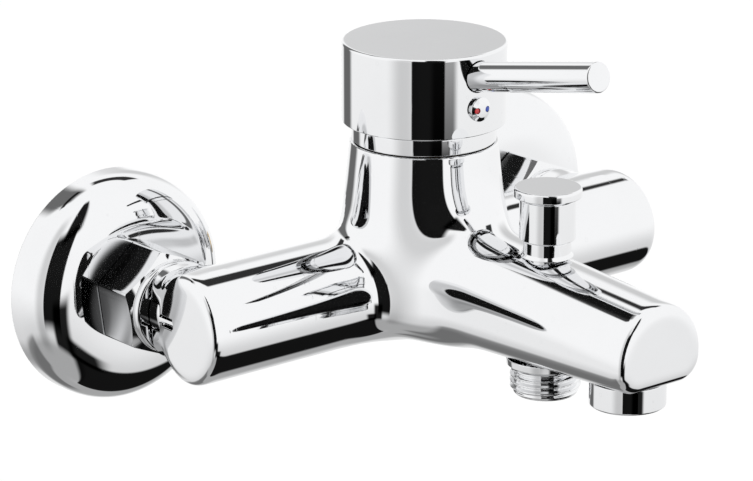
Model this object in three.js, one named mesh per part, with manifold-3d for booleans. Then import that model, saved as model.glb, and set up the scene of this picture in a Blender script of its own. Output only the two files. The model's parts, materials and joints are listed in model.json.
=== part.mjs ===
// Wall mounted bath faucet with a single lever, a diverter and a shower outlet.
// Millimetres. X runs along the wall, +Y into the wall (the wall face is y = 0), +Z up.
// The origin is on the wall face, midway between the two supplies, at arm height.
import * as THREE from "three";
import { mergeVertices } from "three/addons/utils/BufferGeometryUtils.js";
import Module from "manifold-3d";

const wasm = await Module();
wasm.setup();
const { Manifold } = wasm;

// ---------- driving dimensions ----------
const gap = 0.3; // clearance between pieces that touch
const inletSpacing = 150; // between the two supplies
const armStandoff = 53.6; // wall face to the arm axis
const columnForward = 6.3; // how far the column axis is in front of the arm axis
const armRadius = 16.7;
const armOverhang = 11.6; // arm beyond the supply axis
const endFaceTurn = 6; // degrees that each end face is turned back to the wall
const columnWall = 2.5; // brass left round the retaining nut's thread
const columnTopZ = 44;
const columnTaper = 0.1; // growth of the column radius per mm of height, downwards
const spoutReach = 104.3; // column axis to the spout's end face
const spoutEndWidth = 32;
const spoutEndTop = 17.3;
const spoutEndBottom = -7.4;
const spoutRootWidth = 35;
const spoutRootTop = 24.3;
const spoutRootBottom = -13.5;
const bossWall = 4.7; // brass round each tail in its boss
const bossLength = 18.2; // arm axis to the boss face
const fillet = 7; // blend between arms, column and spout
const edgeCut = 1; // small chamfer on turned edges
const fineness = 0.62; // share of the full number of flats on turned pieces
const skinCell = 4.8; // size of the flats on the casting

const cartridgeRadius = 17.2;
const cartridgeSeatZ = 14; // floor of the cartridge chamber
const cartridgeShoulderZ = 36;
const neckStep = 3.5; // cartridge body to its neck
const threadStep = 2.3; // cartridge body to the retaining nut's outside thread
const pivotZ = 40; // pin on which the lever lifts
const stemRadius = 3.4;
const discThickness = 3.4;
const sealThickness = 2;

const capHeight = 24.6;
const capWall = 2;
const skirtRoom = 0.9; // between the cap's skirt and the collar, for the lift
const collarHeight = 5.4;
const collarStep = 0.5; // the collar is this much smaller than the column's top
const rodRadius = 4.5;
const rodLength = 52.5; // cap surface to the rod's end, along the rod
const rodTilt = 11.5; // degrees up from level
const rodEntry = 6.5; // rod axis below the cap's top, at the cap surface
const badgeRadius = 3.7;
const badgeDrop = 16.3; // badge centre below the cap's top

const diverterForward = 55.2; // column axis to the diverter axis
const knobRadius = 10.1;
const knobDisc = 2.8;
const knobHeight = 15.6;
const knobLip = 1.85; // the knob's disc beyond its body
const knobTopZ = 41.6;
const bonnetLip = 0.8; // the bonnet beyond its bore
const diverterBore = 6.2;
const diverterTravel = 8;
const spindleRadius = 1.8;

const outletThreadRadius = 10.48;
const outletDrop = 21.4; // arm axis to the outlet's lower end
const threadPitch = 1.81;
const aeratorForward = 90.3; // column axis to the aerator axis
const aeratorRadius = 11.2;
const aeratorDrop = 15.5;

const nutWall = 2.3; // thread to flat
const nutLength = 15;
const nutRing = 2.2; // round front ring of the nut
const nutThreadRadius = 12.4;
const tailStep = 2.5; // nut's thread to the tail's outside
const tailWall = 2.9;
const tailFlange = 2.2;
const washerThickness = 2;
const bellRadius = 35.1;
const bellRim = 3.5;
const bellFullness = 0.77; // under 1 makes the bell rounder than an ellipse
const bellWall = 1.5;
const wallOffset = 12; // between the two ends of the eccentric
const wallThreadLength = 16; // into the wall
const wallThreadRadius = 10.3;

// ---------- places that follow from the dimensions ----------
const columnY = -(armStandoff + columnForward);
const inletX = inletSpacing / 2;
const armY = -armStandoff;
const spoutEndY = columnY - spoutReach;
const diverterY = columnY - diverterForward;
const aeratorY = columnY - aeratorForward;
const capBottomZ = columnTopZ + collarHeight + 2 * gap;
const capTopZ = capBottomZ + capHeight;
const bossY = -armStandoff + bossLength;
const nutFrontY = bossY + 0.8;
const nutBackY = nutFrontY + nutRing + nutLength;
const bellFrontY = nutBackY + gap;
const chamberRadius = cartridgeRadius + gap;
const neckRadius = cartridgeRadius - neckStep;
const neckBore = neckRadius - 3.7;
const discRoom = cartridgeRadius - 2.7; // room for the discs inside the housing
const threadRadius = cartridgeRadius + threadStep;
const nutBoreRadius = threadRadius + gap;
const columnTopRadius = nutBoreRadius + columnWall;
const collarRadius = columnTopRadius - collarStep;
const capRadius = collarRadius + skirtRoom + capWall;
const knobBodyRadius = knobRadius - knobLip;
const bonnetRadius = diverterBore + bonnetLip;
const bonnetNeck = diverterBore - 1.2;
const nutFlats = 2 * (nutThreadRadius + nutWall); // across the flats
const tailRadius = nutThreadRadius - tailStep;
const tailBore = tailRadius - tailWall;
const bossRadius = tailRadius + bossWall;

// ---------- materials ----------
function material(color, roughness, metalness) {
  return new THREE.MeshStandardMaterial({ color, roughness, metalness });
}
const chrome = material(0xd8dadc, 0.08, 1);
const brass = material(0xb08d4a, 0.35, 1);
const rubber = material(0x1c1c1c, 0.8, 0);
const plastic = material(0xe9e7df, 0.5, 0);
const greyPlastic = material(0x6b7076, 0.5, 0);
const ceramic = material(0xf2efe6, 0.3, 0);
const steel = material(0xa9adb1, 0.3, 1);
const redPaint = material(0xb3161b, 0.4, 0);
const bluePaint = material(0x1746a0, 0.4, 0);

// ---------- helpers ----------
const root = new THREE.Group();
root.name = "wall_mounted_bath_faucet";

// A closed solid from any closed geometry, turned outward if need be.
function solid(geometry) {
  const bare = new THREE.BufferGeometry();
  bare.setAttribute("position", geometry.getAttribute("position"));
  if (geometry.index) bare.setIndex(geometry.index);
  const flat = bare.index ? bare.toNonIndexed() : bare;
  const merged = mergeVertices(flat, 1e-4);
  const p = merged.attributes.position;
  const kept = [];
  let volume = 0;
  const [a, b, c] = [new THREE.Vector3(), new THREE.Vector3(), new THREE.Vector3()];
  for (let i = 0; i < merged.index.count; i += 3) {
    const [u, v, w] = [0, 1, 2].map((k) => merged.index.getX(i + k));
    if (u === v || v === w || u === w) continue;
    a.fromBufferAttribute(p, u);
    b.fromBufferAttribute(p, v);
    c.fromBufferAttribute(p, w);
    volume += a.dot(b.cross(c));
    kept.push(u, v, w);
  }
  if (volume < 0) kept.reverse();
  return new Manifold(
    new wasm.Mesh({
      numProp: 3,
      vertProperties: new Float32Array(p.array),
      triVerts: new Uint32Array(kept),
    }),
  );
}

// Adds one named mesh made from a solid.
function add(name, body, mat) {
  const m = body.getMesh();
  const g = new THREE.BufferGeometry();
  g.setAttribute("position", new THREE.BufferAttribute(new Float32Array(m.vertProperties), 3));
  g.setIndex(new THREE.BufferAttribute(new Uint32Array(m.triVerts), 1));
  g.computeVertexNormals();
  const mesh = new THREE.Mesh(g, mat);
  mesh.name = name;
  root.add(mesh);
  return mesh;
}

// A turned solid about Z from [radius, height] points. The outline closes on itself
// unless both ends are on the axis.
function turned(points, segments = 36) {
  const outline = points.map(([r, z]) => new THREE.Vector2(r, z));
  const onAxis = points[0][0] === 0 && points.at(-1)[0] === 0;
  if (!onAxis) outline.push(outline[0].clone());
  const g = new THREE.LatheGeometry(outline, Math.max(8, Math.round(segments * fineness)));
  g.rotateX(Math.PI / 2);
  return solid(g);
}

// A plain cylinder about Z between two heights.
function rod(radius, z0, z1, segments = 32) {
  return turned([[0, z0], [radius, z0], [radius, z1], [0, z1]], segments);
}

// A ring about Z with an inside and an outside radius.
function ring(inner, outer, z0, z1, segments = 36) {
  return turned([[inner, z0], [outer, z0], [outer, z1], [inner, z1]], segments);
}

// Stands a solid made about Z on its side: its height runs away from the wall, its Y up.
function outward(body, x = 0, z = 0) {
  return body.rotate([90, 0, 0]).translate([x, 0, z]);
}

function block(x0, x1, y0, y1, z0, z1) {
  const g = new THREE.BoxGeometry(x1 - x0, y1 - y0, z1 - z0);
  g.translate((x0 + x1) / 2, (y0 + y1) / 2, (z0 + z1) / 2);
  return solid(g);
}

// A hexagonal prism about Z with two opposite corners chamfered like a turned nut.
function hexagon(flats, z0, z1, turn, chamferTop = true) {
  const corner = flats / Math.sqrt(3);
  const g = new THREE.CylinderGeometry(corner, corner, z1 - z0, 6);
  g.rotateX(Math.PI / 2);
  g.rotateZ(turn);
  g.translate(0, 0, (z0 + z1) / 2);
  const flat = flats / 2 + 0.15;
  const c = corner + 1;
  const slope = (c - flat) * 0.55;
  const top = chamferTop ? [[c, z1 - slope], [flat, z1]] : [[c, z1]];
  const envelope = turned([[0, z0], [c, z0], ...top, [0, z1]], 48);
  return solid(g).intersect(envelope);
}

// Outline points of a thread profile from one height to another, as rings.
function threadOutline(radius, z0, z1, pitch, depth) {
  const out = [];
  const count = Math.floor((z1 - z0) / pitch);
  for (let i = 0; i < count; i += 1) {
    const z = z0 + i * pitch;
    out.push([radius - depth, z]);
    out.push([radius, z + pitch * 0.35]);
    out.push([radius, z + pitch * 0.6]);
  }
  out.push([radius - depth, z0 + count * pitch]);
  return out;
}

// ---------- the casting's outer skin, as one blended rule ----------
// Each field is negative inside. blend() joins two with a fillet of about k.
function blend(a, b, k) {
  const h = Math.max(k - Math.abs(a - b), 0) / k;
  return Math.min(a, b) - (h * h * k) / 4;
}

function armField(y, z) {
  return Math.hypot(y - armY, z) - armRadius;
}

function columnField(x, y, z) {
  const r = columnTopRadius + (columnTopZ - z) * columnTaper;
  const wallPart = Math.hypot(x, y - columnY) - r;
  const floorPart = -armRadius + 6 - z;
  return -blend(-wallPart, -floorPart, 12);
}

// The spout's section at a place along it: a round arch above, a nearly flat floor below.
function spoutField(x, y, z) {
  const t = (columnY - y) / spoutReach;
  const half = (spoutRootWidth + (spoutEndWidth - spoutRootWidth) * t) / 2;
  const top = spoutRootTop + (spoutEndTop - spoutRootTop) * t;
  const bottom = spoutRootBottom + (spoutEndBottom - spoutRootBottom) * t;
  const mid = (top + bottom) / 2;
  const tall = (top - bottom) / 2;
  if (z > top - half) {
    const arch = Math.hypot(x, z - top + half) - half;
    return Math.max(arch, y - columnY);
  }
  const corner = Math.min(half, tall) * 0.62;
  const qx = Math.abs(x) - half + corner;
  const qz = Math.abs(z - mid) - tall + corner;
  const outside = Math.hypot(Math.max(qx, 0), Math.max(qz, 0));
  const section = outside + Math.min(Math.max(qx, qz), 0) - corner;
  return Math.max(section, y - columnY);
}

function bossField(x, y, z) {
  const round = Math.hypot(Math.abs(x) - inletX, z) - bossRadius;
  return Math.max(round, y - bossY - 4, armY - y);
}

function bodyField(x, y, z) {
  const frame = blend(armField(y, z), columnField(x, y, z), fillet);
  const withSpout = blend(frame, spoutField(x, y, z), fillet * 1.6);
  const skinField = blend(withSpout, bossField(x, y, z), 2.5);
  // The skin closes a little beyond the flat faces that are cut afterwards.
  const ends = Math.max(Math.abs(x) - inletX - 18, z - columnTopZ - 5, spoutEndY - 5 - y);
  return Math.max(skinField, ends);
}

// Skins a field: one vertex in every cell that the surface passes, drawn on to the surface.
function skin(field, low, high, cell) {
  const count = low.map((v, i) => Math.ceil((high[i] - v) / cell) + 1);
  const [nx, ny, nz] = count;
  const place = (i, j, k) => [low[0] + i * cell, low[1] + j * cell, low[2] + k * cell];
  const at = (i, j, k) => (k * ny + j) * nx + i;
  const value = new Float64Array(nx * ny * nz);
  for (let k = 0; k < nz; k += 1)
    for (let j = 0; j < ny; j += 1)
      for (let i = 0; i < nx; i += 1) value[at(i, j, k)] = field(...place(i, j, k));
  const positions = [];
  const vertexOf = new Map();
  const corners = [];
  for (let n = 0; n < 8; n += 1) corners.push([n & 1, (n >> 1) & 1, (n >> 2) & 1]);
  for (let k = 0; k < nz - 1; k += 1)
    for (let j = 0; j < ny - 1; j += 1)
      for (let i = 0; i < nx - 1; i += 1) {
        const point = cellVertex(value, corners, at, place, i, j, k);
        if (!point) continue;
        vertexOf.set(at(i, j, k), positions.length / 3);
        positions.push(...drawn(field, point, cell));
      }
  const faces = [];
  const steps = [[1, 0, 0], [0, 1, 0], [0, 0, 1]];
  for (let k = 1; k < nz - 1; k += 1)
    for (let j = 1; j < ny - 1; j += 1)
      for (let i = 1; i < nx - 1; i += 1)
        steps.forEach(([a, b, c], axis) => {
          const here = value[at(i, j, k)] < 0;
          const there = value[at(i + a, j + b, k + c)] < 0;
          if (here === there) return;
          const u = steps[(axis + 1) % 3];
          const w = steps[(axis + 2) % 3];
          const cells = [[0, 0], [1, 0], [1, 1], [0, 1]].map(([m, n]) =>
            vertexOf.get(at(i - m * u[0] - n * w[0], j - m * u[1] - n * w[1], k - m * u[2] - n * w[2])),
          );
          const q = here ? cells : cells.reverse();
          faces.push(q[0], q[1], q[2], q[0], q[2], q[3]);
        });
  const g = new THREE.BufferGeometry();
  g.setAttribute("position", new THREE.BufferAttribute(new Float32Array(positions), 3));
  g.setIndex(faces);
  return g;
}

// The middle of the surface's crossings of one cell's edges, or null.
function cellVertex(value, corners, at, place, i, j, k) {
  const sum = [0, 0, 0];
  let hits = 0;
  for (let a = 0; a < 8; a += 1)
    for (let axis = 0; axis < 3; axis += 1) {
      if (corners[a][axis]) continue;
      const b = a | (1 << axis);
      const va = value[at(i + corners[a][0], j + corners[a][1], k + corners[a][2])];
      const vb = value[at(i + corners[b][0], j + corners[b][1], k + corners[b][2])];
      if (va < 0 === vb < 0) continue;
      const t = va / (va - vb);
      const pa = place(i + corners[a][0], j + corners[a][1], k + corners[a][2]);
      const pb = place(i + corners[b][0], j + corners[b][1], k + corners[b][2]);
      for (let n = 0; n < 3; n += 1) sum[n] += pa[n] + (pb[n] - pa[n]) * t;
      hits += 1;
    }
  return hits ? sum.map((v) => v / hits) : null;
}

// Moves a point on to the surface along the field's slope.
function drawn(field, start, cell) {
  let p = start;
  for (let turn = 0; turn < 4; turn += 1) {
    const e = 0.05;
    const f = field(...p);
    const grad = [0, 1, 2].map((n) => {
      const q = [...p];
      q[n] += e;
      return (field(...q) - f) / e;
    });
    const length2 = grad[0] ** 2 + grad[1] ** 2 + grad[2] ** 2 || 1;
    const step = Math.max(-0.4 * cell, Math.min(0.4 * cell, f / length2));
    p = p.map((v, n) => v - grad[n] * step);
  }
  return p;
}

// ---------- valve body ----------
// Lays a solid made about Z along the arm's axis, with its height running outwards.
function alongArm(body, side) {
  return body.rotate([0, side * 90, 0]).translate([0, armY, 0]);
}

// Cuts an arm off at its end face and chamfers the edge.
function armEndCut(side) {
  const c = edgeCut;
  const slab = rod(60, 0, 40, 24);
  const chamfer = turned(
    [[armRadius - c, 0.01], [armRadius + 0.2, -c - 0.2], [armRadius + 8, -c - 0.2],
      [armRadius + 8, 0.01]],
    48,
  );
  const turn = side * endFaceTurn;
  return slab.add(chamfer).rotate([0, side * 90, 0]).rotate([0, 0, turn])
    .translate([side * (inletX + armOverhang), armY, 0]);
}

function bodySkin() {
  const low = [-inletX - 30, spoutEndY - 14, -armRadius - 14];
  const high = [inletX + 30, bossY + 14, columnTopZ + 14];
  const shell = solid(skin(bodyField, low, high, skinCell));
  const room = block(-150, 150, spoutEndY, bossY, -60, columnTopZ);
  return shell.intersect(room).subtract(armEndCut(1)).subtract(armEndCut(-1));
}

// Water ways from one supply to its port in the chamber's floor.
function inletWay(side) {
  const x = side * inletX;
  const portX = side * 9.5;
  const inlet = outward(rod(tailRadius + gap, -bossY - 1, -bossY + 12.5, 36), x, 0);
  const turn = outward(rod(6.5, -bossY + 10, armStandoff + 5, 24), x, 0);
  const arm = alongArm(rod(6, 9.5, inletX, 24), side);
  const port = rod(4, -2, cartridgeSeatZ + 1, 20).translate([portX, columnY + 3.5, 0]);
  return inlet.add(turn).add(arm).add(port);
}

function mixedWay() {
  const port = rod(4, 3, cartridgeSeatZ + 1, 20).translate([0, columnY - 9, 0]);
  const length = aeratorForward - 7;
  const way = outward(rod(5, 0, length, 28)).translate([0, columnY - 7, 4]);
  return port.add(way);
}

function outletCuts() {
  const diverter = rod(diverterBore, nippleTopZ, 60, 36).translate([0, diverterY, 0]);
  const seat = rod(nippleShankRadius + gap, -40, nippleTopZ + gap, 36).translate([0, diverterY, 0]);
  const face = rod(nippleFlangeRadius + 1, -60, nippleFaceZ, 36).translate([0, diverterY, 0]);
  const bonnetFace = ring(0.01, bonnetRadius + 1.2, bonnetSeatZ, 60, 36)
    .translate([0, diverterY, 0]);
  const aerator = rod(aeratorShankRadius + gap, -40, aeratorTopZ, 36);
  const aeratorFace = rod(aeratorRadius + 0.6, -60, aeratorFaceZ, 36);
  const both = aerator.add(aeratorFace).translate([0, aeratorY, 0]);
  return diverter.add(seat).add(face).add(bonnetFace).add(both);
}

function chamberCuts() {
  const chamber = rod(chamberRadius, cartridgeSeatZ, 80, 48);
  const thread = rod(nutBoreRadius, cartridgeShoulderZ, 80, 48);
  return chamber.add(thread).translate([0, columnY, 0]);
}

// Heights of the fittings under and on the spout.
function spoutBottomAt(y) {
  const t = (columnY - y) / spoutReach;
  return spoutRootBottom + (spoutEndBottom - spoutRootBottom) * t;
}
function spoutTopAt(y) {
  const t = (columnY - y) / spoutReach;
  return spoutRootTop + (spoutEndTop - spoutRootTop) * t;
}
const nippleFlange = 2.2;
const nippleFlangeRadius = outletThreadRadius + 1.3;
const nippleShankRadius = outletThreadRadius - 1.8;
const nippleBore = outletThreadRadius - 4.1;
const nippleFaceZ = spoutBottomAt(diverterY) + 0.4;
const nippleTopZ = nippleFaceZ + 5;
const seatLip = diverterBore - 1.2; // lip on which the diverter's seat ring stands
const bonnetSeatZ = spoutTopAt(diverterY) - 0.2;
const aeratorShankRadius = aeratorRadius - 1.6;
const aeratorFaceZ = spoutBottomAt(aeratorY) + 0.6;
const aeratorTopZ = aeratorFaceZ + 7;

function valveBody() {
  const cut = chamberCuts().add(mixedWay()).add(outletCuts()).add(inletWay(1)).add(inletWay(-1));
  add("valve_body", bodySkin().subtract(cut), chrome);
}

// ---------- cartridge ----------
const sealZ = cartridgeSeatZ + gap;
const fixedZ = sealZ + sealThickness + gap;
const movingZ = fixedZ + discThickness + gap;
const movingHeight = discThickness + 1;
const housingTopZ = columnTopZ + 4;
const ceilingZ = movingZ + movingHeight + 1.2;

function ports(z0, z1, radius) {
  const one = (x, y) => rod(radius, z0, z1, 16).translate([x, y, 0]);
  return one(-9.5, 3.5).add(one(9.5, 3.5)).add(one(0, -9));
}

function cartridge() {
  const up = [0, columnY, 0];
  const seal = ring(0.01, discRoom - gap, sealZ, sealZ + sealThickness);
  const sealHoles = ports(sealZ - 1, sealZ + 4, 3.4).add(rod(1, sealZ - 1, sealZ + 4, 12));
  add("cartridge_seal", seal.subtract(sealHoles).translate(up), rubber);
  const fixed = rod(discRoom - gap, fixedZ, fixedZ + discThickness);
  const fixedHoles = ports(fixedZ - 1, fixedZ + 5, 3.2);
  add("ceramic_disc_fixed", fixed.subtract(fixedHoles).translate(up), ceramic);
  const housing = turned(
    [[discRoom, cartridgeSeatZ + gap], [cartridgeRadius, cartridgeSeatZ + gap],
      [cartridgeRadius, cartridgeShoulderZ - gap], [neckRadius, cartridgeShoulderZ - gap],
      [neckRadius, housingTopZ], [neckBore, housingTopZ], [neckBore, ceilingZ + 4],
      [discRoom, ceilingZ]],
    48,
  );
  add("cartridge_housing", housing.translate(up), greyPlastic);
  const nutInner = neckRadius + gap;
  const outline = threadOutline(
    threadRadius, cartridgeShoulderZ, columnTopZ - 1, threadPitch, 0.7);
  const last = outline.at(-1)[1];
  const nut = turned(
    [[nutInner, cartridgeShoulderZ], ...outline, [threadRadius - 0.7, columnTopZ + 4.5],
      [nutInner, columnTopZ + 4.5]].filter(([, z]) => z <= last || z > columnTopZ),
    48,
  );
  const slots = [0, 60, 120].map((a) =>
    block(-30, 30, -1.6, 1.6, columnTopZ + 2.5, columnTopZ + 9).rotate([0, 0, a]),
  );
  const slotted = slots.reduce((body, slot) => body.subtract(slot), nut);
  add("cartridge_retaining_nut", slotted.translate(up), brass);
}

// The parts of the cartridge that turn with the lever.
function cartridgeMoving() {
  const up = [0, columnY, 0];
  const turretBottom = ceilingZ + 4 + 2;
  const turret = rod(neckBore - gap, turretBottom, housingTopZ - 0.5);
  const slot = block(-stemRadius - gap, stemRadius + gap, -20, 20, turretBottom - 1, 80);
  const web = rod(1.8, -20, 20, 20).rotate([0, 90, 0]).translate([0, 0, pivotZ]);
  // The slot runs from front to back, so a ring keeps its two cheeks together.
  const keeper = ring(8.2, neckBore - gap, turretBottom, turretBottom + 2.5);
  const cheeks = turret.subtract(slot).add(keeper).subtract(web);
  add("cartridge_turret", cheeks.translate(up), plastic);
  const pin = rod(1.5, -8.6, 8.6, 20).rotate([0, 90, 0]).translate([0, 0, pivotZ]);
  add("pivot_pin", pin.translate(up), steel);
  const moving = rod(8.1, movingZ, movingZ + movingHeight, 32);
  const socket = rod(3.9, movingZ + 1.2, movingZ + 20, 20);
  const pass = rod(0.8, movingZ - 1, movingZ + 20, 12).translate([0, 6.2, 0]);
  add("ceramic_disc_moving", moving.subtract(socket).subtract(pass).translate(up), ceramic);
  const tipZ = movingZ + 1.8;
  const stem = turned(
    [[0, tipZ], [1.6, tipZ], [2.2, tipZ + 0.8], [2.2, tipZ + 4], [stemRadius, tipZ + 7],
      [stemRadius, stemTopZ - 0.6], [stemRadius - 0.6, stemTopZ], [0, stemTopZ]],
    24,
  );
  const eye = rod(1.5 + gap, -20, 20, 20).rotate([0, 90, 0]).translate([0, 0, pivotZ]);
  add("cartridge_stem", stem.subtract(eye).translate(up), steel);
}

// ---------- lever ----------
const stemTopZ = capTopZ - 6;
const hubRadius = 7.5;
const hubBottomZ = columnTopZ + 11;
const rodZ = capTopZ - rodEntry; // rod axis where it meets the cap's surface
const badgeZ = capTopZ - badgeDrop;
const tilt = (rodTilt * Math.PI) / 180;

// Puts a solid made about Z on the rod's axis, with z = 0 on the cap's surface.
function onRod(body) {
  return body.rotate([90 - rodTilt, 0, 0]).translate([0, columnY - capRadius, rodZ]);
}

function leverCap() {
  const inner = capRadius - capWall;
  const c = 0.8;
  const cup = turned(
    [[0, capTopZ - 2.6], [inner, capTopZ - 2.6], [inner, capBottomZ], [capRadius, capBottomZ],
      [capRadius, capTopZ - c], [capRadius - c, capTopZ], [0, capTopZ]],
    64,
  );
  const hub = rod(hubRadius, hubBottomZ, capTopZ - 2);
  const boss = onRod(rod(rodRadius + 2, -17, -0.8, 28)).translate([0, -columnY, 0]);
  const trim = rod(capRadius - 0.5, hubBottomZ - 2, capTopZ - 1, 48);
  const webbed = cup.add(hub).add(boss.intersect(trim));
  const socket = rod(stemRadius + gap, hubBottomZ - 1, stemTopZ + gap, 24);
  const rodHole = onRod(rod(rodRadius + gap, -rodDepth - gap, 8, 32)).translate([0, -columnY, 0]);
  const screwHole = outward(rod(2.5 + gap, 0, hubRadius + 2, 20)).translate([0, 0, badgeZ]);
  const badgeHole = outward(rod(badgeRadius - 0.6, capRadius - 5, capRadius + 5, 28))
    .translate([0, 0, badgeZ]);
  const cuts = socket.add(rodHole).add(screwHole).add(badgeHole);
  add("lever_cap", webbed.subtract(cuts).translate([0, columnY, 0]), chrome);
}
const rodDepth = 9;

function leverRod() {
  const c = 0.5;
  const bar = turned(
    [[0, -rodDepth], [rodRadius, -rodDepth], [rodRadius, rodLength - c],
      [rodRadius - c, rodLength], [0, rodLength]],
    40,
  );
  add("lever_rod", onRod(bar), chrome);
}

function leverSmallParts() {
  const screw = outward(rod(2.5, stemRadius + gap, hubRadius - 0.5, 20));
  const key = outward(rod(1.2, hubRadius - 2.5, hubRadius + 2, 6));
  add("grub_screw", screw.subtract(key).translate([0, columnY, badgeZ]), steel);
  const shank = badgeRadius - 0.9;
  const y0 = capRadius - capWall - 1;
  const face = capRadius + 0.3;
  const plug = turned(
    [[0, y0], [shank, y0], [shank, face - 0.4], [badgeRadius, face], [badgeRadius, face + 0.5],
      [badgeRadius - 0.9, face + 1.3], [1.4, face + 1.7], [0, face + 1.7]],
    32,
  );
  const dotHole = (side) => rod(0.95, face + 0.9, face + 5, 16).translate([side * 1.9, 0, 0]);
  const cut = plug.subtract(dotHole(1)).subtract(dotHole(-1));
  const seatCut = rod(capRadius + 0.25, -9, 9, 64);
  const place = [0, columnY, badgeZ];
  add("badge_plug", outward(cut).subtract(rimOnly(seatCut)).translate(place), chrome);
  const dot = (side) =>
    outward(rod(0.65, face + 1.2, face + 1.75, 16).translate([side * 1.9, 0, 0]));
  add("badge_dot_red", dot(-1).translate(place), redPaint);
  add("badge_dot_blue", dot(1).translate(place), bluePaint);
}

// Keeps only the part of the cap's own round wall, to seat the badge's rim on it.
function rimOnly(body) {
  return body.subtract(outward(rod(badgeRadius - 0.6, capRadius - 8, capRadius + 4, 28)));
}

function collar() {
  const z0 = columnTopZ + gap;
  const z1 = z0 + collarHeight;
  const c = 0.8;
  const body = turned(
    [[threadRadius + gap, z0], [collarRadius, z0], [collarRadius, z1 - c],
      [collarRadius - c, z1], [threadRadius + gap, z1]],
    56,
  );
  add("collar_ring", body.translate([0, columnY, 0]), chrome);
}

// ---------- diverter ----------
const knobBottomZ = knobTopZ - knobHeight;
const bonnetTopZ = knobBottomZ - gap;
const valveZ = nippleTopZ + gap + 2.1;

function diverter() {
  const up = [0, diverterY, 0];
  const c = 0.7;
  const knob = turned(
    [[0, knobTopZ - knobDisc - 2.4], [bonnetNeck + gap, knobTopZ - knobDisc - 2.4],
      [bonnetNeck + gap, knobBottomZ], [knobBodyRadius, knobBottomZ],
      [knobBodyRadius, knobTopZ - knobDisc - 0.9], [knobBodyRadius - 0.7, knobTopZ - knobDisc - 0.4],
      [knobBodyRadius - 0.7, knobTopZ - knobDisc], [knobRadius - c * 0.5, knobTopZ - knobDisc],
      [knobRadius, knobTopZ - knobDisc + c * 0.5], [knobRadius, knobTopZ - c],
      [knobRadius - c, knobTopZ], [0, knobTopZ]],
    44,
  );
  const stemHole = rod(spindleRadius + gap, 0, knobTopZ - knobDisc + 0.6, 20);
  add("diverter_knob", knob.subtract(stemHole).translate(up), chrome);
  const shank = diverterBore - gap;
  const z0 = bonnetSeatZ + gap;
  const bonnet = turned(
    [[spindleRadius + gap, z0 - 10], [shank - 1.6, z0 - 10], [shank - 1.6, z0 - 7.4],
      [shank, z0 - 7.4], [shank, z0], [bonnetRadius + 1, z0], [bonnetRadius, z0 + 1.2],
      [bonnetRadius, bonnetTopZ - 0.4], [bonnetRadius - 0.4, bonnetTopZ], [bonnetNeck, bonnetTopZ],
      [bonnetNeck, knobTopZ - knobDisc - 3.2], [spindleRadius + gap, knobTopZ - knobDisc - 3.2]],
    40,
  );
  add("diverter_bonnet", bonnet.translate(up), chrome);
  const oRing = ring(shank - 1.3, shank, z0 - 9.8, z0 - 7.7, 32);
  add("bonnet_o_ring", oRing.translate(up), rubber);
  const spindle = turned(
    [[0, valveZ - 1.4], [spindleRadius, valveZ - 1.4], [spindleRadius, valveZ + 2.2],
      [3, valveZ + 2.2], [3, valveZ + 3], [spindleRadius, valveZ + 3],
      [spindleRadius, knobTopZ - knobDisc + 0.3], [0, knobTopZ - knobDisc + 0.3]],
    20,
  );
  add("diverter_stem", spindle.translate(up), brass);
  const washer = ring(spindleRadius + gap, diverterBore - 1, valveZ, valveZ + 1.9, 28);
  add("diverter_valve_washer", washer.translate(up), rubber);
  const seat = ring(3.4, diverterBore - gap, nippleTopZ + gap, valveZ - gap, 32);
  add("diverter_seat", seat.translate(up), brass);
}

// ---------- outlets under the spout ----------
function showerOutlet() {
  const top = nippleTopZ - gap;
  const face = nippleFaceZ - gap;
  const low = -outletDrop;
  const r = outletThreadRadius;
  const threadTop = face - nippleFlange - 0.8;
  const thread = threadOutline(r, low + 0.8, threadTop, threadPitch, 1);
  const last = thread.at(-1)[1];
  const body = turned(
    [[nippleBore, low], [r - 1.2, low], ...thread, [r - 1, Math.max(threadTop, last + 0.1)],
      [nippleFlangeRadius - 0.5, face - nippleFlange], [nippleFlangeRadius, face - nippleFlange + 0.5],
      [nippleFlangeRadius, face], [nippleShankRadius, face], [nippleShankRadius, top],
      [seatLip, top], [seatLip, face], [nippleBore, face]],
    40,
  );
  add("shower_outlet_nipple", body.translate([0, diverterY, 0]), chrome);
  const z0 = low + 5;
  const insert = rod(nippleBore - gap, z0, face - 1.5, 28);
  const holes = [0, 60, 120, 180, 240, 300].map((a) =>
    rod(1.3, z0 - 1, face, 12).translate([3.7, 0, 0]).rotate([0, 0, a]),
  );
  const drilled = holes.reduce((body2, hole) => body2.subtract(hole), insert);
  add("shower_check_valve", drilled.translate([0, diverterY, 0]), greyPlastic);
}

function aerator() {
  const low = -aeratorDrop;
  const face = aeratorFaceZ - gap;
  const top = aeratorTopZ - washerThickness - 2 * gap;
  const c = 0.7;
  const bore = aeratorRadius - 3;
  const body = turned(
    [[bore + 1, low], [aeratorRadius - c, low], [aeratorRadius, low + c], [aeratorRadius, face],
      [aeratorShankRadius, face], [aeratorShankRadius, top], [bore, top], [bore, low + 4.2],
      [bore - 1, low + 4.2], [bore - 1, low + 1.4], [bore + 1, low + 0.6]],
    44,
  );
  const up = [0, aeratorY, 0];
  add("aerator_housing", body.translate(up), chrome);
  const z0 = low + 4.2 + gap;
  const insert = rod(bore - gap, z0, top - 0.6, 32);
  const holes = [];
  for (let a = 0; a < 360; a += 45)
    holes.push(rod(0.9, z0 - 1, top + 1, 8).translate([5.2, 0, 0]).rotate([0, 0, a]));
  holes.push(rod(0.9, z0 - 1, top + 1, 8));
  const drilled = holes.reduce((b, hole) => b.subtract(hole), insert);
  add("aerator_insert", drilled.translate(up), plastic);
  const washer = ring(6.5, aeratorShankRadius, top + gap, aeratorTopZ - gap, 36);
  add("aerator_washer", washer.translate(up), rubber);
}

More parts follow.
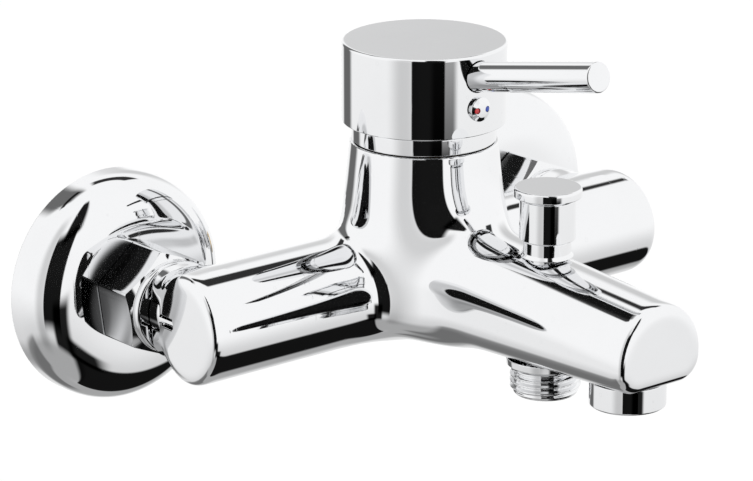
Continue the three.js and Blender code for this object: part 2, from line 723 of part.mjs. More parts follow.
// ---------- wall connections, one set for each side ----------
function wallSet(side, name) {
  const x = side * inletX;
  const front = -nutFrontY; // distances from the wall
  const back = -nutBackY;
  const shoulder = front - nutRing - 1.8;
  const hexFront = front - nutRing;
  const hex = hexagon(nutFlats, back, hexFront, Math.PI / 22);
  const round = turned(
    [[0, hexFront - 1], [nutFlats / 2 - 0.8, hexFront - 1], [nutFlats / 2 - 0.8, front - 0.9],
      [nutFlats / 2 - 1.9, front], [0, front]],
    44,
  );
  const bore = rod(nutThreadRadius, back - 1, shoulder, 40);
  const hole = rod(tailRadius + gap, back - 1, front + 1, 40);
  add(`union_nut_${name}`, outward(hex.add(round).subtract(bore).subtract(hole), x), chrome);

  const flangeFront = shoulder - gap;
  const flangeBack = flangeFront - tailFlange;
  const tail = turned(
    [[tailBore, flangeBack], [nutThreadRadius - gap, flangeBack],
      [nutThreadRadius - gap, flangeFront], [tailRadius, flangeFront],
      [tailRadius, -bossY + 11.5], [tailBore, -bossY + 11.5]],
    40,
  );
  add(`inlet_tail_${name}`, outward(tail, x), chrome);
  const strainer = turned(
    [[0, flangeFront + 4], [tailBore - gap, flangeFront + 4], [tailBore - gap, flangeFront],
      [tailBore - 1.2, flangeFront], [tailBore - 1.2, flangeFront + 3.2], [0, flangeFront + 3.2]],
    28,
  );
  const screens = [0, 90, 180, 270].map((a) =>
    rod(0.8, flangeFront, flangeFront + 6, 10).translate([3, 0, 0]).rotate([0, 0, a]),
  );
  const sieve = screens.reduce((b, hole2) => b.subtract(hole2), strainer);
  add(`inlet_strainer_${name}`, outward(sieve, x), plastic);
  const washerFront = flangeBack - gap;
  const washer = ring(tailBore + 1, nutThreadRadius - gap, washerFront - washerThickness, washerFront);
  add(`union_washer_${name}`, outward(washer, x), rubber);
  eccentric(x, name, washerFront - washerThickness - gap);
  escutcheon(x, name);
}

// The S-shaped connector: a thread into the wall, an offset waist and a thread for the nut.
function eccentric(x, name, end) {
  const r = nutThreadRadius - gap;
  const waistFront = -bellFrontY - bellWall - 1.2;
  const front = rod(r, waistFront - 5, end, 40);
  const collarPart = rod(r + 0.9, waistFront - 7, waistFront - 1.5, 36);
  const wallPart = rod(wallThreadRadius, -wallThreadLength, waistFront - 6, 36)
    .translate([0, -wallOffset, 0]);
  const waist = block(-r + 0.8, r - 0.8, -wallOffset, 0, 1, waistFront - 4);
  const foot = rod(r - 0.4, 1, waistFront - 4, 32).translate([0, -wallOffset, 0]);
  const head = rod(r - 0.4, 1, waistFront - 4, 32);
  const outer = front.add(collarPart).add(wallPart).add(waist).add(foot).add(head);
  const bores = rod(7.5, 4.5, end + 1, 28)
    .add(rod(7.2, -wallThreadLength - 1, waistFront - 6.5, 28).translate([0, -wallOffset, 0]));
  const body = outer.subtract(bores);
  add(`eccentric_${name}`, outward(body, x), brass);
}

function escutcheon(x, name) {
  const depth = -bellFrontY;
  const steps = 7;
  const flat = 16;
  const outer = [];
  const inner = [];
  for (let i = 0; i <= steps; i += 1) {
    const a = (i / steps) * (Math.PI / 2);
    const grow = bellRadius - flat;
    const rise = depth - bellRim;
    const u = Math.cos(a) ** bellFullness;
    const v = Math.sin(a) ** bellFullness;
    outer.push([flat + grow * u, bellRim + rise * v]);
    inner.push([flat + (grow - bellWall) * u, bellRim + (rise - bellWall) * v]);
  }
  const hole = nutThreadRadius;
  const shell = turned(
    [[bellRadius - bellWall, 0], [bellRadius, 0], ...outer, [hole, depth],
      [hole, depth - bellWall], ...inner.reverse()],
    56,
  );
  add(`escutcheon_${name}`, outward(shell, x), chrome);
}

// ---------- the whole faucet ----------
valveBody();
cartridge();
cartridgeMoving();
collar();
leverCap();
leverRod();
leverSmallParts();
diverter();
showerOutlet();
aerator();
for (const [side, name] of [[-1, "left"], [1, "right"]]) wallSet(side, name);

export default root;
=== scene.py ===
# %% [markdown]
# # A chrome bath faucet for the wall
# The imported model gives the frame: which bodies there are, how they move, and the box of every part.
# Each visible part is made again here with true curves, fine edges and a finish of its own.
# Sizes are in millimetres while a shape is being thought out, and `mm` turns them into metres.

# %% Load the frame
import json
import math

import bmesh
import bpy
import numpy as np
from mathutils import Matrix, Vector


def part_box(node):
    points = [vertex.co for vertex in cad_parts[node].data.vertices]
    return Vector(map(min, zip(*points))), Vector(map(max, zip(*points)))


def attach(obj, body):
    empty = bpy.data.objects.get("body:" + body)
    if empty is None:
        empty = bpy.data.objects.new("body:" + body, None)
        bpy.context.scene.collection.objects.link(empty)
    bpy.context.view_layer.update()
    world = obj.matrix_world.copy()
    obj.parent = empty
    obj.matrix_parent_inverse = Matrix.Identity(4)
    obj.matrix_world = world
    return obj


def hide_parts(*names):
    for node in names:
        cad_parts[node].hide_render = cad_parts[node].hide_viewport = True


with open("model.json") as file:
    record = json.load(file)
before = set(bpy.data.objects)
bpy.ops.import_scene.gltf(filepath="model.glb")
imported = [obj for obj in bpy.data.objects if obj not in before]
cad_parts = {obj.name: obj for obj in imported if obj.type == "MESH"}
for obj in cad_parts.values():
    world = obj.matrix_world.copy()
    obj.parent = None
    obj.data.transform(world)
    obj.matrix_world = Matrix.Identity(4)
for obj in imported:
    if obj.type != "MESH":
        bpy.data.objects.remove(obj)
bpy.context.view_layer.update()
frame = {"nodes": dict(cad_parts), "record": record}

mm = 0.001


def middle(node):
    """The middle of a node's box, in millimetres."""
    low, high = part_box(node)
    return (low + high) / 2 / mm


def span(node):
    """The lowest and highest corners of a node's box, in millimetres."""
    low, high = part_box(node)
    return low / mm, high / mm


def heights(node):
    """The lowest and highest Z of a node, in millimetres."""
    low, high = span(node)
    return low.z, high.z


def depths(node):
    """How far a node's front and back stand off the wall, in millimetres."""
    low, high = span(node)
    return -low.y, -high.y


def half_width(node):
    """Half of a node's width, which is the radius of a turned part."""
    low, high = span(node)
    return (high.x - low.x) / 2


def add_object(name, data):
    obj = bpy.data.objects.new(name, data)
    bpy.context.scene.collection.objects.link(obj)
    return obj


# %% [markdown]
# ## The camera
# A long lens stands to the left, in front and a little above, so that upright edges stay nearly
# parallel. It is placed first, because every later look at the faucet goes through it.

# %% Camera
CAMERA_PLACE = Vector((-0.74979, -0.93538, 0.37473))
CAMERA_YAW = math.radians(39.87)
CAMERA_PITCH = math.radians(-17.48)
FRAME_WIDTH = 753
SENSOR_WIDTH = 36
CAMERA_LENS = 4000.0 / FRAME_WIDTH * SENSOR_WIDTH


def make_camera():
    data = bpy.data.cameras.new("camera")
    data.sensor_width = SENSOR_WIDTH
    data.lens = CAMERA_LENS
    data.clip_start, data.clip_end = 0.05, 50
    camera = add_object("camera", data)
    camera.location = CAMERA_PLACE
    camera.rotation_euler = (math.pi / 2 + CAMERA_PITCH, 0, -CAMERA_YAW)
    bpy.context.scene.camera = camera


make_camera()
print("lens", round(CAMERA_LENS, 1), "mm")

# %% [markdown]
# ## Sizes that more than one piece uses
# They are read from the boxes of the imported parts, so that each new piece fits the frame. The few
# that no box gives are written here once, in millimetres.

# %% Shared sizes
CAP_BOTTOM, CAP_TOP = heights("lever_cap")
CAP_RADIUS = half_width("lever_cap")
COLUMN_Y = middle("lever_cap").y
COLUMN_TOP = 44.0
COLLAR_BORE = 19.8
ARM_RADIUS = 16.7
ARM_Y = -53.6
ARM_END = 86.6
END_TURN = math.radians(6)
INLET_X = 75.0
SIDES = (("left", -INLET_X), ("right", INLET_X))
BOSS_Y = -35.4
BOSS_RADIUS = 14.6
SPOUT_END = span("valve_body")[0].y
SPOUT_REACH = COLUMN_Y - SPOUT_END
DIVERTER_Y = middle("diverter_knob").y
KNOB_LOW, KNOB_TOP = heights("diverter_knob")
BONNET_LOW, BONNET_TOP = heights("diverter_bonnet")
OUTLET_LOW, OUTLET_TOP = heights("shower_outlet_nipple")
AERATOR_Y = middle("aerator_housing").y
AERATOR_LOW, AERATOR_TOP = heights("aerator_housing")
SHARP_DEGREES = 28
TURNED_STEPS = 128
print("column axis at y", round(COLUMN_Y, 2), "spout reaches", round(SPOUT_REACH, 2))

# %% [markdown]
# ## Helpers for turned parts
# Most parts of a faucet come off a lathe, so one outline turned about an axis gives their shape.
# A real turned edge is never sharp: each corner of the outline gets a small arc. Polished chrome
# shows every facet, so the shading normals are taken from the outline itself and not from the
# faces. A boolean cut may come between the turning and the normals.

# %% Rounded outlines
def rounded(points, closed=True, steps=5):
    """An outline of (radius, height, corner radius) points with each corner made an arc."""
    out = []
    count = len(points)
    for i, (r, z, corner) in enumerate(points):
        here = Vector((r, z))
        if corner <= 0 or (not closed and i in (0, count - 1)):
            out.append(here)
            continue
        before = Vector(points[i - 1][:2]) - here
        after = Vector(points[(i + 1) % count][:2]) - here
        half = before.angle(after) / 2
        reach = min(corner / math.tan(half), before.length * 0.49, after.length * 0.49)
        a, b = here + before.normalized() * reach, here + after.normalized() * reach
        radius = reach * math.tan(half)
        centre = here + (before.normalized() + after.normalized()).normalized() * (
            radius / math.sin(half))
        u, v = a - centre, b - centre
        whole = u.angle(v)
        for k in range(steps + 1):
            s = k / steps
            mix = (u * math.sin((1 - s) * whole) + v * math.sin(s * whole)) / math.sin(whole)
            out.append(centre + mix)
    return out


def spun(outline, steps=TURNED_STEPS, closed=True):
    """Vertices and faces of an outline turned about Z. Points on the axis become one vertex."""
    verts, faces, rows = [], [], []
    for p in outline:
        if abs(p.x) < 1e-6:
            rows.append([len(verts)] * steps)
            verts.append((0, 0, p.y))
            continue
        rows.append(list(range(len(verts), len(verts) + steps)))
        for k in range(steps):
            a = 2 * math.pi * k / steps
            verts.append((p.x * math.cos(a), p.x * math.sin(a), p.y))
    pairs = list(zip(rows, rows[1:]))
    if closed:
        pairs.append((rows[-1], rows[0]))
    for low, high in pairs:
        for k in range(steps):
            n = (k + 1) % steps
            face = []
            for v in (low[k], low[n], high[n], high[k]):
                if v not in face:
                    face.append(v)
            if len(face) > 2:
                faces.append(face)
    return verts, faces


def face_outwards(obj):
    """Joins doubled points and turns every face outwards."""
    bm = bmesh.new()
    bm.from_mesh(obj.data)
    bmesh.ops.remove_doubles(bm, verts=bm.verts, dist=1e-7)
    bmesh.ops.recalc_face_normals(bm, faces=bm.faces)
    if bm.calc_volume(signed=True) < 0:
        bmesh.ops.reverse_faces(bm, faces=bm.faces)
    bm.to_mesh(obj.data)
    bm.free()
    return obj


def smooth_by_angle(obj, degrees):
    me = obj.data
    me.polygons.foreach_set("use_smooth", np.ones(len(me.polygons), bool))
    me.set_sharp_from_angle(angle=math.radians(degrees))
    return obj


def mesh_object(name, verts, faces):
    """A plain object from vertices in millimetres, with its faces turned outwards."""
    me = bpy.data.meshes.new(name)
    me.from_pydata([tuple(Vector(v) * mm) for v in verts], [], faces)
    return face_outwards(add_object(name, me))


# %% Exact shading for turned parts
def outline_normals(outline, closed):
    """The start, the end and the outward normal of each straight piece of an outline."""
    pts = np.array([(p.x, p.y) for p in outline])
    nxt = np.roll(pts, -1, axis=0)
    if not closed:
        pts, nxt = pts[:-1], nxt[:-1]
    d = nxt - pts
    length = np.maximum(np.linalg.norm(d, axis=1), 1e-9)
    area = np.sum(pts[:, 0] * nxt[:, 1] - nxt[:, 0] * pts[:, 1])
    side = 1 if area > 0 else -1
    normals = np.stack([d[:, 1], -d[:, 0]], 1) / length[:, None] * side
    return pts, nxt, normals


def corner_normals_of(pts, nxt, normals):
    """The normal at each outline point: the mean of its two pieces, unless they meet sharply.

    Longer pieces count for more, so a long straight wall stays straight beside a small arc.
    """
    before = np.roll(normals, 1, axis=0)
    length = np.linalg.norm(nxt - pts, axis=1)[:, None]
    mean = normals * length + before * np.roll(length, 1, axis=0)
    size = np.linalg.norm(mean, axis=1)
    smooth = np.sum(normals * before, axis=1) > 0.8
    mean = np.where(smooth[:, None], mean / np.maximum(size, 1e-9)[:, None], normals)
    after = np.roll(mean, -1, axis=0)
    next_smooth = np.roll(smooth, -1)
    after = np.where(next_smooth[:, None], after, normals)
    return mean, after


def shade_turned(obj, outline, place=None, closed=True, near=0.03):
    """Gives faces that lie on the turned outline the outline's own normals."""
    me = obj.data
    pts, nxt, normals = outline_normals(outline, closed)
    start_n, end_n = corner_normals_of(pts, nxt, normals)
    smooth_by_angle(obj, SHARP_DEGREES)
    back = place.inverted() if place else Matrix.Identity(4)
    turn = np.array(place.to_3x3()) if place else np.eye(3)
    co = np.zeros(len(me.vertices) * 3)
    me.vertices.foreach_get("co", co)
    co = co.reshape(-1, 3) / mm
    co = co @ np.array(back.to_3x3()).T + np.array(back.translation) / mm
    loops = np.zeros(len(me.loops), int)
    me.loops.foreach_get("vertex_index", loops)
    out = np.array([tuple(c.vector) for c in me.corner_normals])
    d = nxt - pts
    length2 = np.maximum(np.sum(d * d, 1), 1e-12)
    for poly in me.polygons:
        ids = list(poly.loop_indices)
        here = co[loops[ids]]
        centre = here.mean(0)
        face_n = np.array(poly.normal) @ turn
        r, z = math.hypot(centre[0], centre[1]), centre[2]
        radial = np.array([centre[0], centre[1]]) / max(r, 1e-9)
        flat = np.array([face_n[:2] @ radial, face_n[2]])
        spot = np.array([r, z])
        t = np.clip(np.sum((spot - pts) * d, 1) / length2, 0, 1)
        gap = np.linalg.norm(pts + d * t[:, None] - spot, axis=1)
        gap = gap + np.where(normals @ flat > 0.9, 0, 5)
        k = int(np.argmin(gap))
        if gap[k] > near + r * 0.001:
            continue
        for loop, p in zip(ids, here):
            pr = math.hypot(p[0], p[1])
            s = np.clip(np.dot(np.array([pr, p[2]]) - pts[k], d[k]) / length2[k], 0, 1)
            n2 = start_n[k] * (1 - s) + end_n[k] * s
            n3 = np.array([0, 0, np.sign(n2[1]) or 1.0])
            if pr > 1e-4:
                n3 = np.array([*(n2[0] * p[:2] / pr), n2[1]])
            n3 = turn @ n3
            out[loop] = n3 / max(np.linalg.norm(n3), 1e-9)
    me.normals_split_custom_set([tuple(v) for v in out])
    return obj


# %% Placing and cutting
OUTWARD = Matrix.Rotation(math.pi / 2, 4, "X")


def placed(x=0.0, y=0.0, z=0.0, turn=None):
    """A place in metres from millimetres, with an optional turn first."""
    return Matrix.Translation(Vector((x, y, z)) * mm) @ (turn or Matrix.Identity(4))


def turned(name, points, place=None, cutters=(), steps=TURNED_STEPS, closed=True, arc=5):
    """A finished turned part: outline, spin, cuts and exact shading."""
    outline = rounded(points, closed, arc)
    verts, faces = spun(outline, steps, closed)
    obj = mesh_object(name, verts, faces)
    place = place or Matrix.Identity(4)
    obj.data.transform(place)
    for cutter in cutters:
        carve(obj, cutter)
    return shade_turned(obj, outline, place, closed)


def carve(obj, cutter):
    """Cuts one object out of another and throws the cutter away."""
    mod = obj.modifiers.new("cut", "BOOLEAN")
    mod.operation = "DIFFERENCE"
    mod.solver = "EXACT"
    mod.object = cutter
    apply_modifiers(obj)
    bpy.data.objects.remove(cutter)


def apply_modifiers(obj):
    """Turns an object with modifiers into a plain mesh."""
    bpy.context.view_layer.update()
    seen = obj.evaluated_get(bpy.context.evaluated_depsgraph_get())
    me = bpy.data.meshes.new_from_object(seen)
    obj.modifiers.clear()
    old = obj.data
    obj.data = me
    bpy.data.meshes.remove(old)
    return obj

# %% [markdown]
# ## The casting as one rule
# Arms, column and spout are cast in one piece and polished, so they flow into each other through
# soft fillets. Welding tubes and rounding the joints by hand would leave seams that chrome shows.
# Here each part is a distance rule, and smooth minimums blend the rules as a polisher would.
# Geometry Nodes turn the blended rule into a mesh, then draw each point on to the true surface
# and note the true direction there for the shading.

# %% Writing arithmetic as nodes
class Sums:
    """Writes sums into a node tree, so that a rule reads like a formula."""

    def __init__(self, tree):
        self.tree = tree

    def node(self, kind, inputs=None, **settings):
        """A new node with its settings made first and its inputs filled next."""
        n = self.tree.nodes.new(kind)
        for key, value in settings.items():
            setattr(n, key, value)
        for label, value in (inputs or {}).items():
            self.put(n.inputs[label], value)
        return n

    def put(self, socket, value):
        if isinstance(value, bpy.types.NodeSocket):
            self.tree.links.new(value, socket)
        else:
            socket.default_value = value

    def do(self, operation, *values):
        return self.node("ShaderNodeMath", dict(enumerate(values)), operation=operation).outputs[0]

    def add(self, a, b):
        return self.do("ADD", a, b)

    def sub(self, a, b):
        return self.do("SUBTRACT", a, b)

    def mul(self, a, b):
        return self.do("MULTIPLY", a, b)

    def low(self, a, b):
        return self.do("MINIMUM", a, b)

    def high(self, a, b):
        return self.do("MAXIMUM", a, b)

    def between(self, value, low, high):
        return self.low(self.high(value, low), high)

    def join(self, a, b, k):
        return self.do("SMOOTH_MIN", a, b, k)

    def cut(self, a, b, k):
        return self.do("SMOOTH_MAX", a, b, k)

    def vector(self, operation, *values):
        n = self.node("ShaderNodeVectorMath", dict(enumerate(values)), operation=operation)
        return n.outputs["Value" if operation in ("LENGTH", "DOT_PRODUCT") else "Vector"]

    def scaled(self, vector, factor):
        inputs = {0: vector, "Scale": factor}
        return self.node("ShaderNodeVectorMath", inputs, operation="SCALE").outputs["Vector"]

    def combine(self, *parts):
        return self.node("ShaderNodeCombineXYZ", dict(enumerate(parts))).outputs[0]

    def split(self, vector):
        return self.node("ShaderNodeSeparateXYZ", {0: vector}).outputs

    def away(self, *parts):
        """The length of a vector of three parts."""
        return self.vector("LENGTH", self.combine(*parts))

    def here(self):
        return self.node("GeometryNodeInputPosition").outputs[0]

    def moved(self, geometry, **target):
        """Geometry with its points at a Position, or moved by an Offset."""
        return self.node("GeometryNodeSetPosition", {"Geometry": geometry, **target}).outputs[0]

    def end(self, geometry, out):
        """Ends a geometry tree in plain faces with a material slot."""
        real = self.node("GeometryNodeRealizeInstances", {0: geometry}).outputs[0]
        self.put(out, self.node("GeometryNodeSetMaterial", {"Geometry": real}).outputs[0])


def new_group(kind, name, inputs, output):
    """A node group. Each input has either its default number or a word for its kind of socket."""
    group = bpy.data.node_groups.new(name, kind)
    for label, value in inputs.items():
        word = value if isinstance(value, str) else "Int" if isinstance(value, int) else "Float"
        socket = group.interface.new_socket(label, in_out="INPUT", socket_type="NodeSocket" + word)
        if word != value:
            socket.default_value = value
    label, word = output
    group.interface.new_socket(label, in_out="OUTPUT", socket_type="NodeSocket" + word)
    given = group.nodes.new("NodeGroupInput").outputs
    return Sums(group), given, group.nodes.new("NodeGroupOutput").inputs[label]


def shape_group(name, inputs):
    inputs = {"Geometry": "Geometry", **inputs}
    return new_group("GeometryNodeTree", name, inputs, ("Geometry", "Geometry"))


# %% The casting's rule
CASTING_SIZES = {"Arm radius": ARM_RADIUS, "Fillet": 10.5, "Spout fillet": 16.8, "Edge": 5.0,
                 "Column radius": 22.3, "Column taper": 0.1}
COLUMN_FLOOR = 6 - ARM_RADIUS
COLUMN_FLOOR_FILLET = 18.0
BOSS_OVERLAP = 4
BOSS_FILLET = 3.75
TOP_EDGE = 0.8
BOSS_EDGE = 1.2
# Each size of the spout's section is given at the column and at the far end.
SPOUT_HALF_WIDTH = (17.5, 16.0)
SPOUT_TOP = (24.3, 17.3)
SPOUT_BOTTOM = (-13.5, -7.4)
SPOUT_CORNER = 0.62
# Each hole: its axis in Y, its radius, the height where it stops, and if it opens upwards.
HOLES = [
    ("cartridge chamber", COLUMN_Y, 17.5, 14.0, True),
    ("room for the retaining nut", COLUMN_Y, COLLAR_BORE, 36.0, True),
    ("diverter bore", DIVERTER_Y, 6.2, -4.9, True),
    ("way to the shower outlet", DIVERTER_Y, 9.0, -4.7, False),
    ("flat round the outlet", DIVERTER_Y, 12.8, OUTLET_TOP - 4.4, False),
    ("seat of the bonnet", DIVERTER_Y, 8.4, BONNET_LOW + 9.7, True),
    ("room for the aerator", AERATOR_Y, 9.9, -0.8, False),
    ("flat round the aerator", AERATOR_Y, 11.8, heights("aerator_washer")[0] - 4.6, False),
]
INLET_BORE = 10.2
INLET_DEPTH = 12.5


def arm_and_column(s, x, y, z, size):
    arm = s.sub(s.away(0.0, s.sub(y, ARM_Y), z), size["Arm radius"])
    taper = s.mul(s.sub(COLUMN_TOP, z), size["Column taper"])
    wall = s.sub(s.away(x, s.sub(y, COLUMN_Y), 0.0), s.add(size["Column radius"], taper))
    column = s.cut(wall, s.sub(COLUMN_FLOOR, z), COLUMN_FLOOR_FILLET)
    return s.join(arm, column, size["Fillet"])


def spout_rule(s, x, y, z):
    """The spout's section changes along it: a round arch above, a nearly flat floor below."""
    t = s.mul(s.sub(COLUMN_Y, y), 1 / SPOUT_REACH)

    def along(root, end):
        return s.add(s.mul(t, end - root), root)

    half, top, bottom = along(*SPOUT_HALF_WIDTH), along(*SPOUT_TOP), along(*SPOUT_BOTTOM)
    mid = s.mul(s.add(top, bottom), 0.5)
    tall = s.mul(s.sub(top, bottom), 0.5)
    corner = s.mul(s.low(half, tall), SPOUT_CORNER)
    qx = s.add(s.sub(s.do("ABSOLUTE", x), half), corner)
    qz = s.add(s.sub(s.do("ABSOLUTE", s.sub(z, mid)), tall), corner)
    outside = s.away(s.high(qx, 0.0), s.high(qz, 0.0), 0.0)
    floor = s.sub(s.add(outside, s.low(s.high(qx, qz), 0.0)), corner)
    spring = s.sub(top, half)
    arch = s.sub(s.away(x, s.sub(z, spring), 0.0), half)
    upper = s.do("GREATER_THAN", z, spring)
    section = s.add(s.mul(arch, upper), s.mul(floor, s.sub(1.0, upper)))
    return s.high(section, s.sub(y, COLUMN_Y))


def boss_rule(s, x, y, z):
    side = s.sub(s.do("ABSOLUTE", x), INLET_X)
    ring = s.sub(s.away(side, 0.0, z), BOSS_RADIUS)
    return s.high(ring, s.high(s.sub(y, BOSS_Y + BOSS_OVERLAP), s.sub(ARM_Y, y)))


def trimmed(s, shape, x, y, z, edge):
    """Flat end faces, with a soft edge."""
    across = s.mul(s.sub(s.do("ABSOLUTE", x), ARM_END), math.cos(END_TURN))
    back = s.mul(s.sub(y, ARM_Y), math.sin(END_TURN))
    shape = s.cut(shape, s.add(across, back), edge)
    shape = s.cut(shape, s.sub(SPOUT_END, y), edge)
    shape = s.cut(shape, s.sub(z, COLUMN_TOP), TOP_EDGE)
    return s.cut(shape, s.sub(y, BOSS_Y), BOSS_EDGE)


def bored(s, shape, x, y, z):
    """The chamber, the seats of the fittings and the inlets."""
    def hole(shape, across, along, radius, limit, forwards):
        drill = s.sub(s.away(*across, 0.0), radius)
        stop = s.sub(limit, along) if forwards else s.sub(along, limit)
        return s.high(shape, s.mul(s.high(drill, stop), -1.0))

    for _, axis, radius, limit, upwards in HOLES:
        shape = hole(shape, (x, s.sub(y, axis)), z, radius, limit, upwards)
    side = s.sub(s.do("ABSOLUTE", x), INLET_X)
    return hole(shape, (side, z), y, INLET_BORE, BOSS_Y - INLET_DEPTH, True)


def make_casting_rule():
    inputs = {"Place": "Vector", **CASTING_SIZES}
    s, given, out = new_group("GeometryNodeTree", "casting_rule", inputs, ("Distance", "Float"))
    x, y, z = s.split(s.scaled(given["Place"], 1 / mm))
    shape = s.join(arm_and_column(s, x, y, z, given), spout_rule(s, x, y, z), given["Spout fillet"])
    shape = s.join(shape, boss_rule(s, x, y, z), BOSS_FILLET)
    shape = trimmed(s, shape, x, y, z, given["Edge"])
    s.put(out, bored(s, shape, x, y, z))
    return s.tree


casting_rule = make_casting_rule()
print("casting rule:", len(casting_rule.nodes), "nodes")

# %% From the rule to a mesh
CASTING_LOW, CASTING_HIGH = (-90, -167, -22), (90, -32, 47)
LONGEST_MOVE = 0.0004


def rule_at(s, place, sizes):
    inputs = {"Place": place, **sizes}
    return s.node("GeometryNodeGroup", inputs, node_tree=casting_rule).outputs["Distance"]


def slope_at(s, place, sizes, step=0.00003):
    """The rule's distance and its slope, from three short steps."""
    here = rule_at(s, place, sizes)
    parts = []
    for axis in range(3):
        move = tuple(step if k == axis else 0.0 for k in range(3))
        there = rule_at(s, s.vector("ADD", place, move), sizes)
        parts.append(s.mul(s.sub(there, here), mm / step))
    return here, s.combine(*parts)


def draw_on(s, shape, sizes):
    """Moves each point along the slope on to the surface."""
    here, slope = slope_at(s, s.here(), sizes)
    steepness = s.high(s.vector("DOT_PRODUCT", slope, slope), 0.2)
    reach = s.do("DIVIDE", s.mul(here, -mm), steepness)
    reach = s.between(reach, -LONGEST_MOVE, LONGEST_MOVE)
    return s.moved(shape, Offset=s.scaled(slope, reach))


def make_skin_tree():
    """The rule's surface as a mesh, with its true direction kept at each point."""
    s, given, out = shape_group("casting_skin", {"Grain": 0.8, **CASTING_SIZES})
    sizes = {label: given[label] for label in CASTING_SIZES}
    cube = s.node("GeometryNodeVolumeCube", {
        "Density": s.mul(rule_at(s, s.here(), sizes), -1.0), "Background": -100.0,
        "Min": Vector(CASTING_LOW) * mm, "Max": Vector(CASTING_HIGH) * mm})
    for letter, low, high in zip("XYZ", CASTING_LOW, CASTING_HIGH):
        s.put(cube.inputs["Resolution " + letter], s.do("DIVIDE", high - low, given["Grain"]))
    skin = s.node("GeometryNodeVolumeToMesh", {"Volume": cube.outputs[0], "Threshold": 0.0},
                  resolution_mode="GRID")
    shape = skin.outputs[0]
    for _ in range(3):
        shape = draw_on(s, shape, sizes)
    _, slope = slope_at(s, s.here(), sizes)
    kept = {"Geometry": shape, "Name": "facing", "Value": s.vector("NORMALIZE", slope)}
    store = s.node("GeometryNodeStoreNamedAttribute", kept, data_type="FLOAT_VECTOR", domain="POINT")
    s.end(store.outputs[0], out)
    return s.tree


def run_tree(name, tree, **values):
    """Runs a geometry tree on an empty mesh and keeps only the plain result."""
    obj = add_object(name, bpy.data.meshes.new(name))
    mod = obj.modifiers.new("rule", "NODES")
    mod.node_group = tree
    for item in tree.interface.items_tree:
        if item.item_type == "SOCKET" and item.in_out == "INPUT" and item.name in values:
            mod[item.identifier] = values[item.name]
    return apply_modifiers(obj)


def shade_by_facing(obj):
    """Uses the stored directions as the shading normals."""
    me = obj.data
    n = np.zeros(len(me.vertices) * 3, np.float32)
    me.attributes["facing"].data.foreach_get("vector", n)
    me.polygons.foreach_set("use_smooth", np.ones(len(me.polygons), bool))
    me.normals_split_custom_set_from_vertices(n.reshape(-1, 3).tolist())
    me.attributes.remove(me.attributes["facing"])
    return obj


body = shade_by_facing(run_tree("body_casting", make_skin_tree(), Grain=0.8))
print("casting:", len(body.data.vertices), "vertices,", len(body.data.polygons), "faces")

# %% [markdown]
# ## The handle
# On the real faucet the handle is a turned cup with a flat top that hides the cartridge. A round
# rod screws into its side at a slant, and a small plug with a red and a blue dot hides the grub
# screw. The cup could be a scaled cylinder, but then its walls, its soft top edge and the shadow
# line under it would be missing, so it is turned from its real section and drilled.

# %% The cap, drilled for the rod and the plug
CAP_FRONT = COLUMN_Y - CAP_RADIUS
CAP_WALL = 2.0
ROD_RADIUS = 4.5
ROD_DEPTH = 9.0
ROD_LENGTH = 52.5
ROD_TILT = math.radians(11.5)
ROD_Z = 68.1
PLUG_Z = middle("badge_plug").z
PLUG_RADIUS = half_width("badge_plug")
DOT_X = 1.9
rod_turn = Matrix.Rotation(math.pi / 2 - ROD_TILT, 4, "X")
rod_place = placed(0, CAP_FRONT, ROD_Z, rod_turn)
plug_place = placed(0, COLUMN_Y, PLUG_Z, OUTWARD)


def drill(name, radius, low, high, place, steps=96):
    verts, faces = spun([Vector(p) for p in ((0, low), (radius, low), (radius, high), (0, high))], steps)
    obj = mesh_object(name, verts, faces)
    obj.data.transform(place)
    return obj


def make_cap():
    inner, stem, hub, hub_low = CAP_RADIUS - CAP_WALL, 3.7, 7.5, 55
    stem_top, ceiling = CAP_TOP - 5.7, CAP_TOP - 2.6
    outline = [(0, stem_top, 0), (stem, stem_top, 0), (stem, hub_low, 0), (hub, hub_low, 0.5),
               (hub, ceiling, 1), (inner, ceiling, 1), (inner, CAP_BOTTOM, 0.25),
               (CAP_RADIUS, CAP_BOTTOM, 0.35), (CAP_RADIUS, CAP_TOP, 0.9), (0, CAP_TOP, 0)]
    cuts = [drill("rod_hole", ROD_RADIUS + 0.3, -ROD_DEPTH - 0.3, 8, rod_place),
            drill("plug_hole", PLUG_RADIUS - 0.6, CAP_RADIUS - 5, CAP_RADIUS + 5, plug_place)]
    return turned("handle_cap", outline, placed(0, COLUMN_Y, 0), cuts, steps=192)


cap = make_cap()
rod_outline = [(0, -ROD_DEPTH, 0), (ROD_RADIUS, -ROD_DEPTH, 0.3), (ROD_RADIUS, ROD_LENGTH, 0.6),
               (0, ROD_LENGTH, 0)]
rod = turned("handle_rod", rod_outline, rod_place)
print("cap radius", round(CAP_RADIUS, 2), "rod ends at",
      [round(v, 1) for v in (rod_place @ Vector((0, 0, ROD_LENGTH * mm))) / mm])

# %% The hot and cold plug
def dot_place(side):
    return placed(side * DOT_X, COLUMN_Y, PLUG_Z, OUTWARD)


def make_plug():
    face = CAP_RADIUS + 0.3
    outline = [(0, CAP_RADIUS - 3, 0), (PLUG_RADIUS - 0.9, CAP_RADIUS - 3, 0.3),
               (PLUG_RADIUS - 0.9, face - 0.7, 0.1), (PLUG_RADIUS, face - 0.55, 0.1),
               (PLUG_RADIUS, face + 0.7, 0.35), (PLUG_RADIUS - 1.4, face + 1.45, 0.8),
               (0, face + 1.7, 0)]
    holes = [drill("dot_hole", 0.95, face + 0.9, face + 5, dot_place(side), 40) for side in (-1, 1)]
    return turned("handle_plug", outline, plug_place, holes, steps=96)


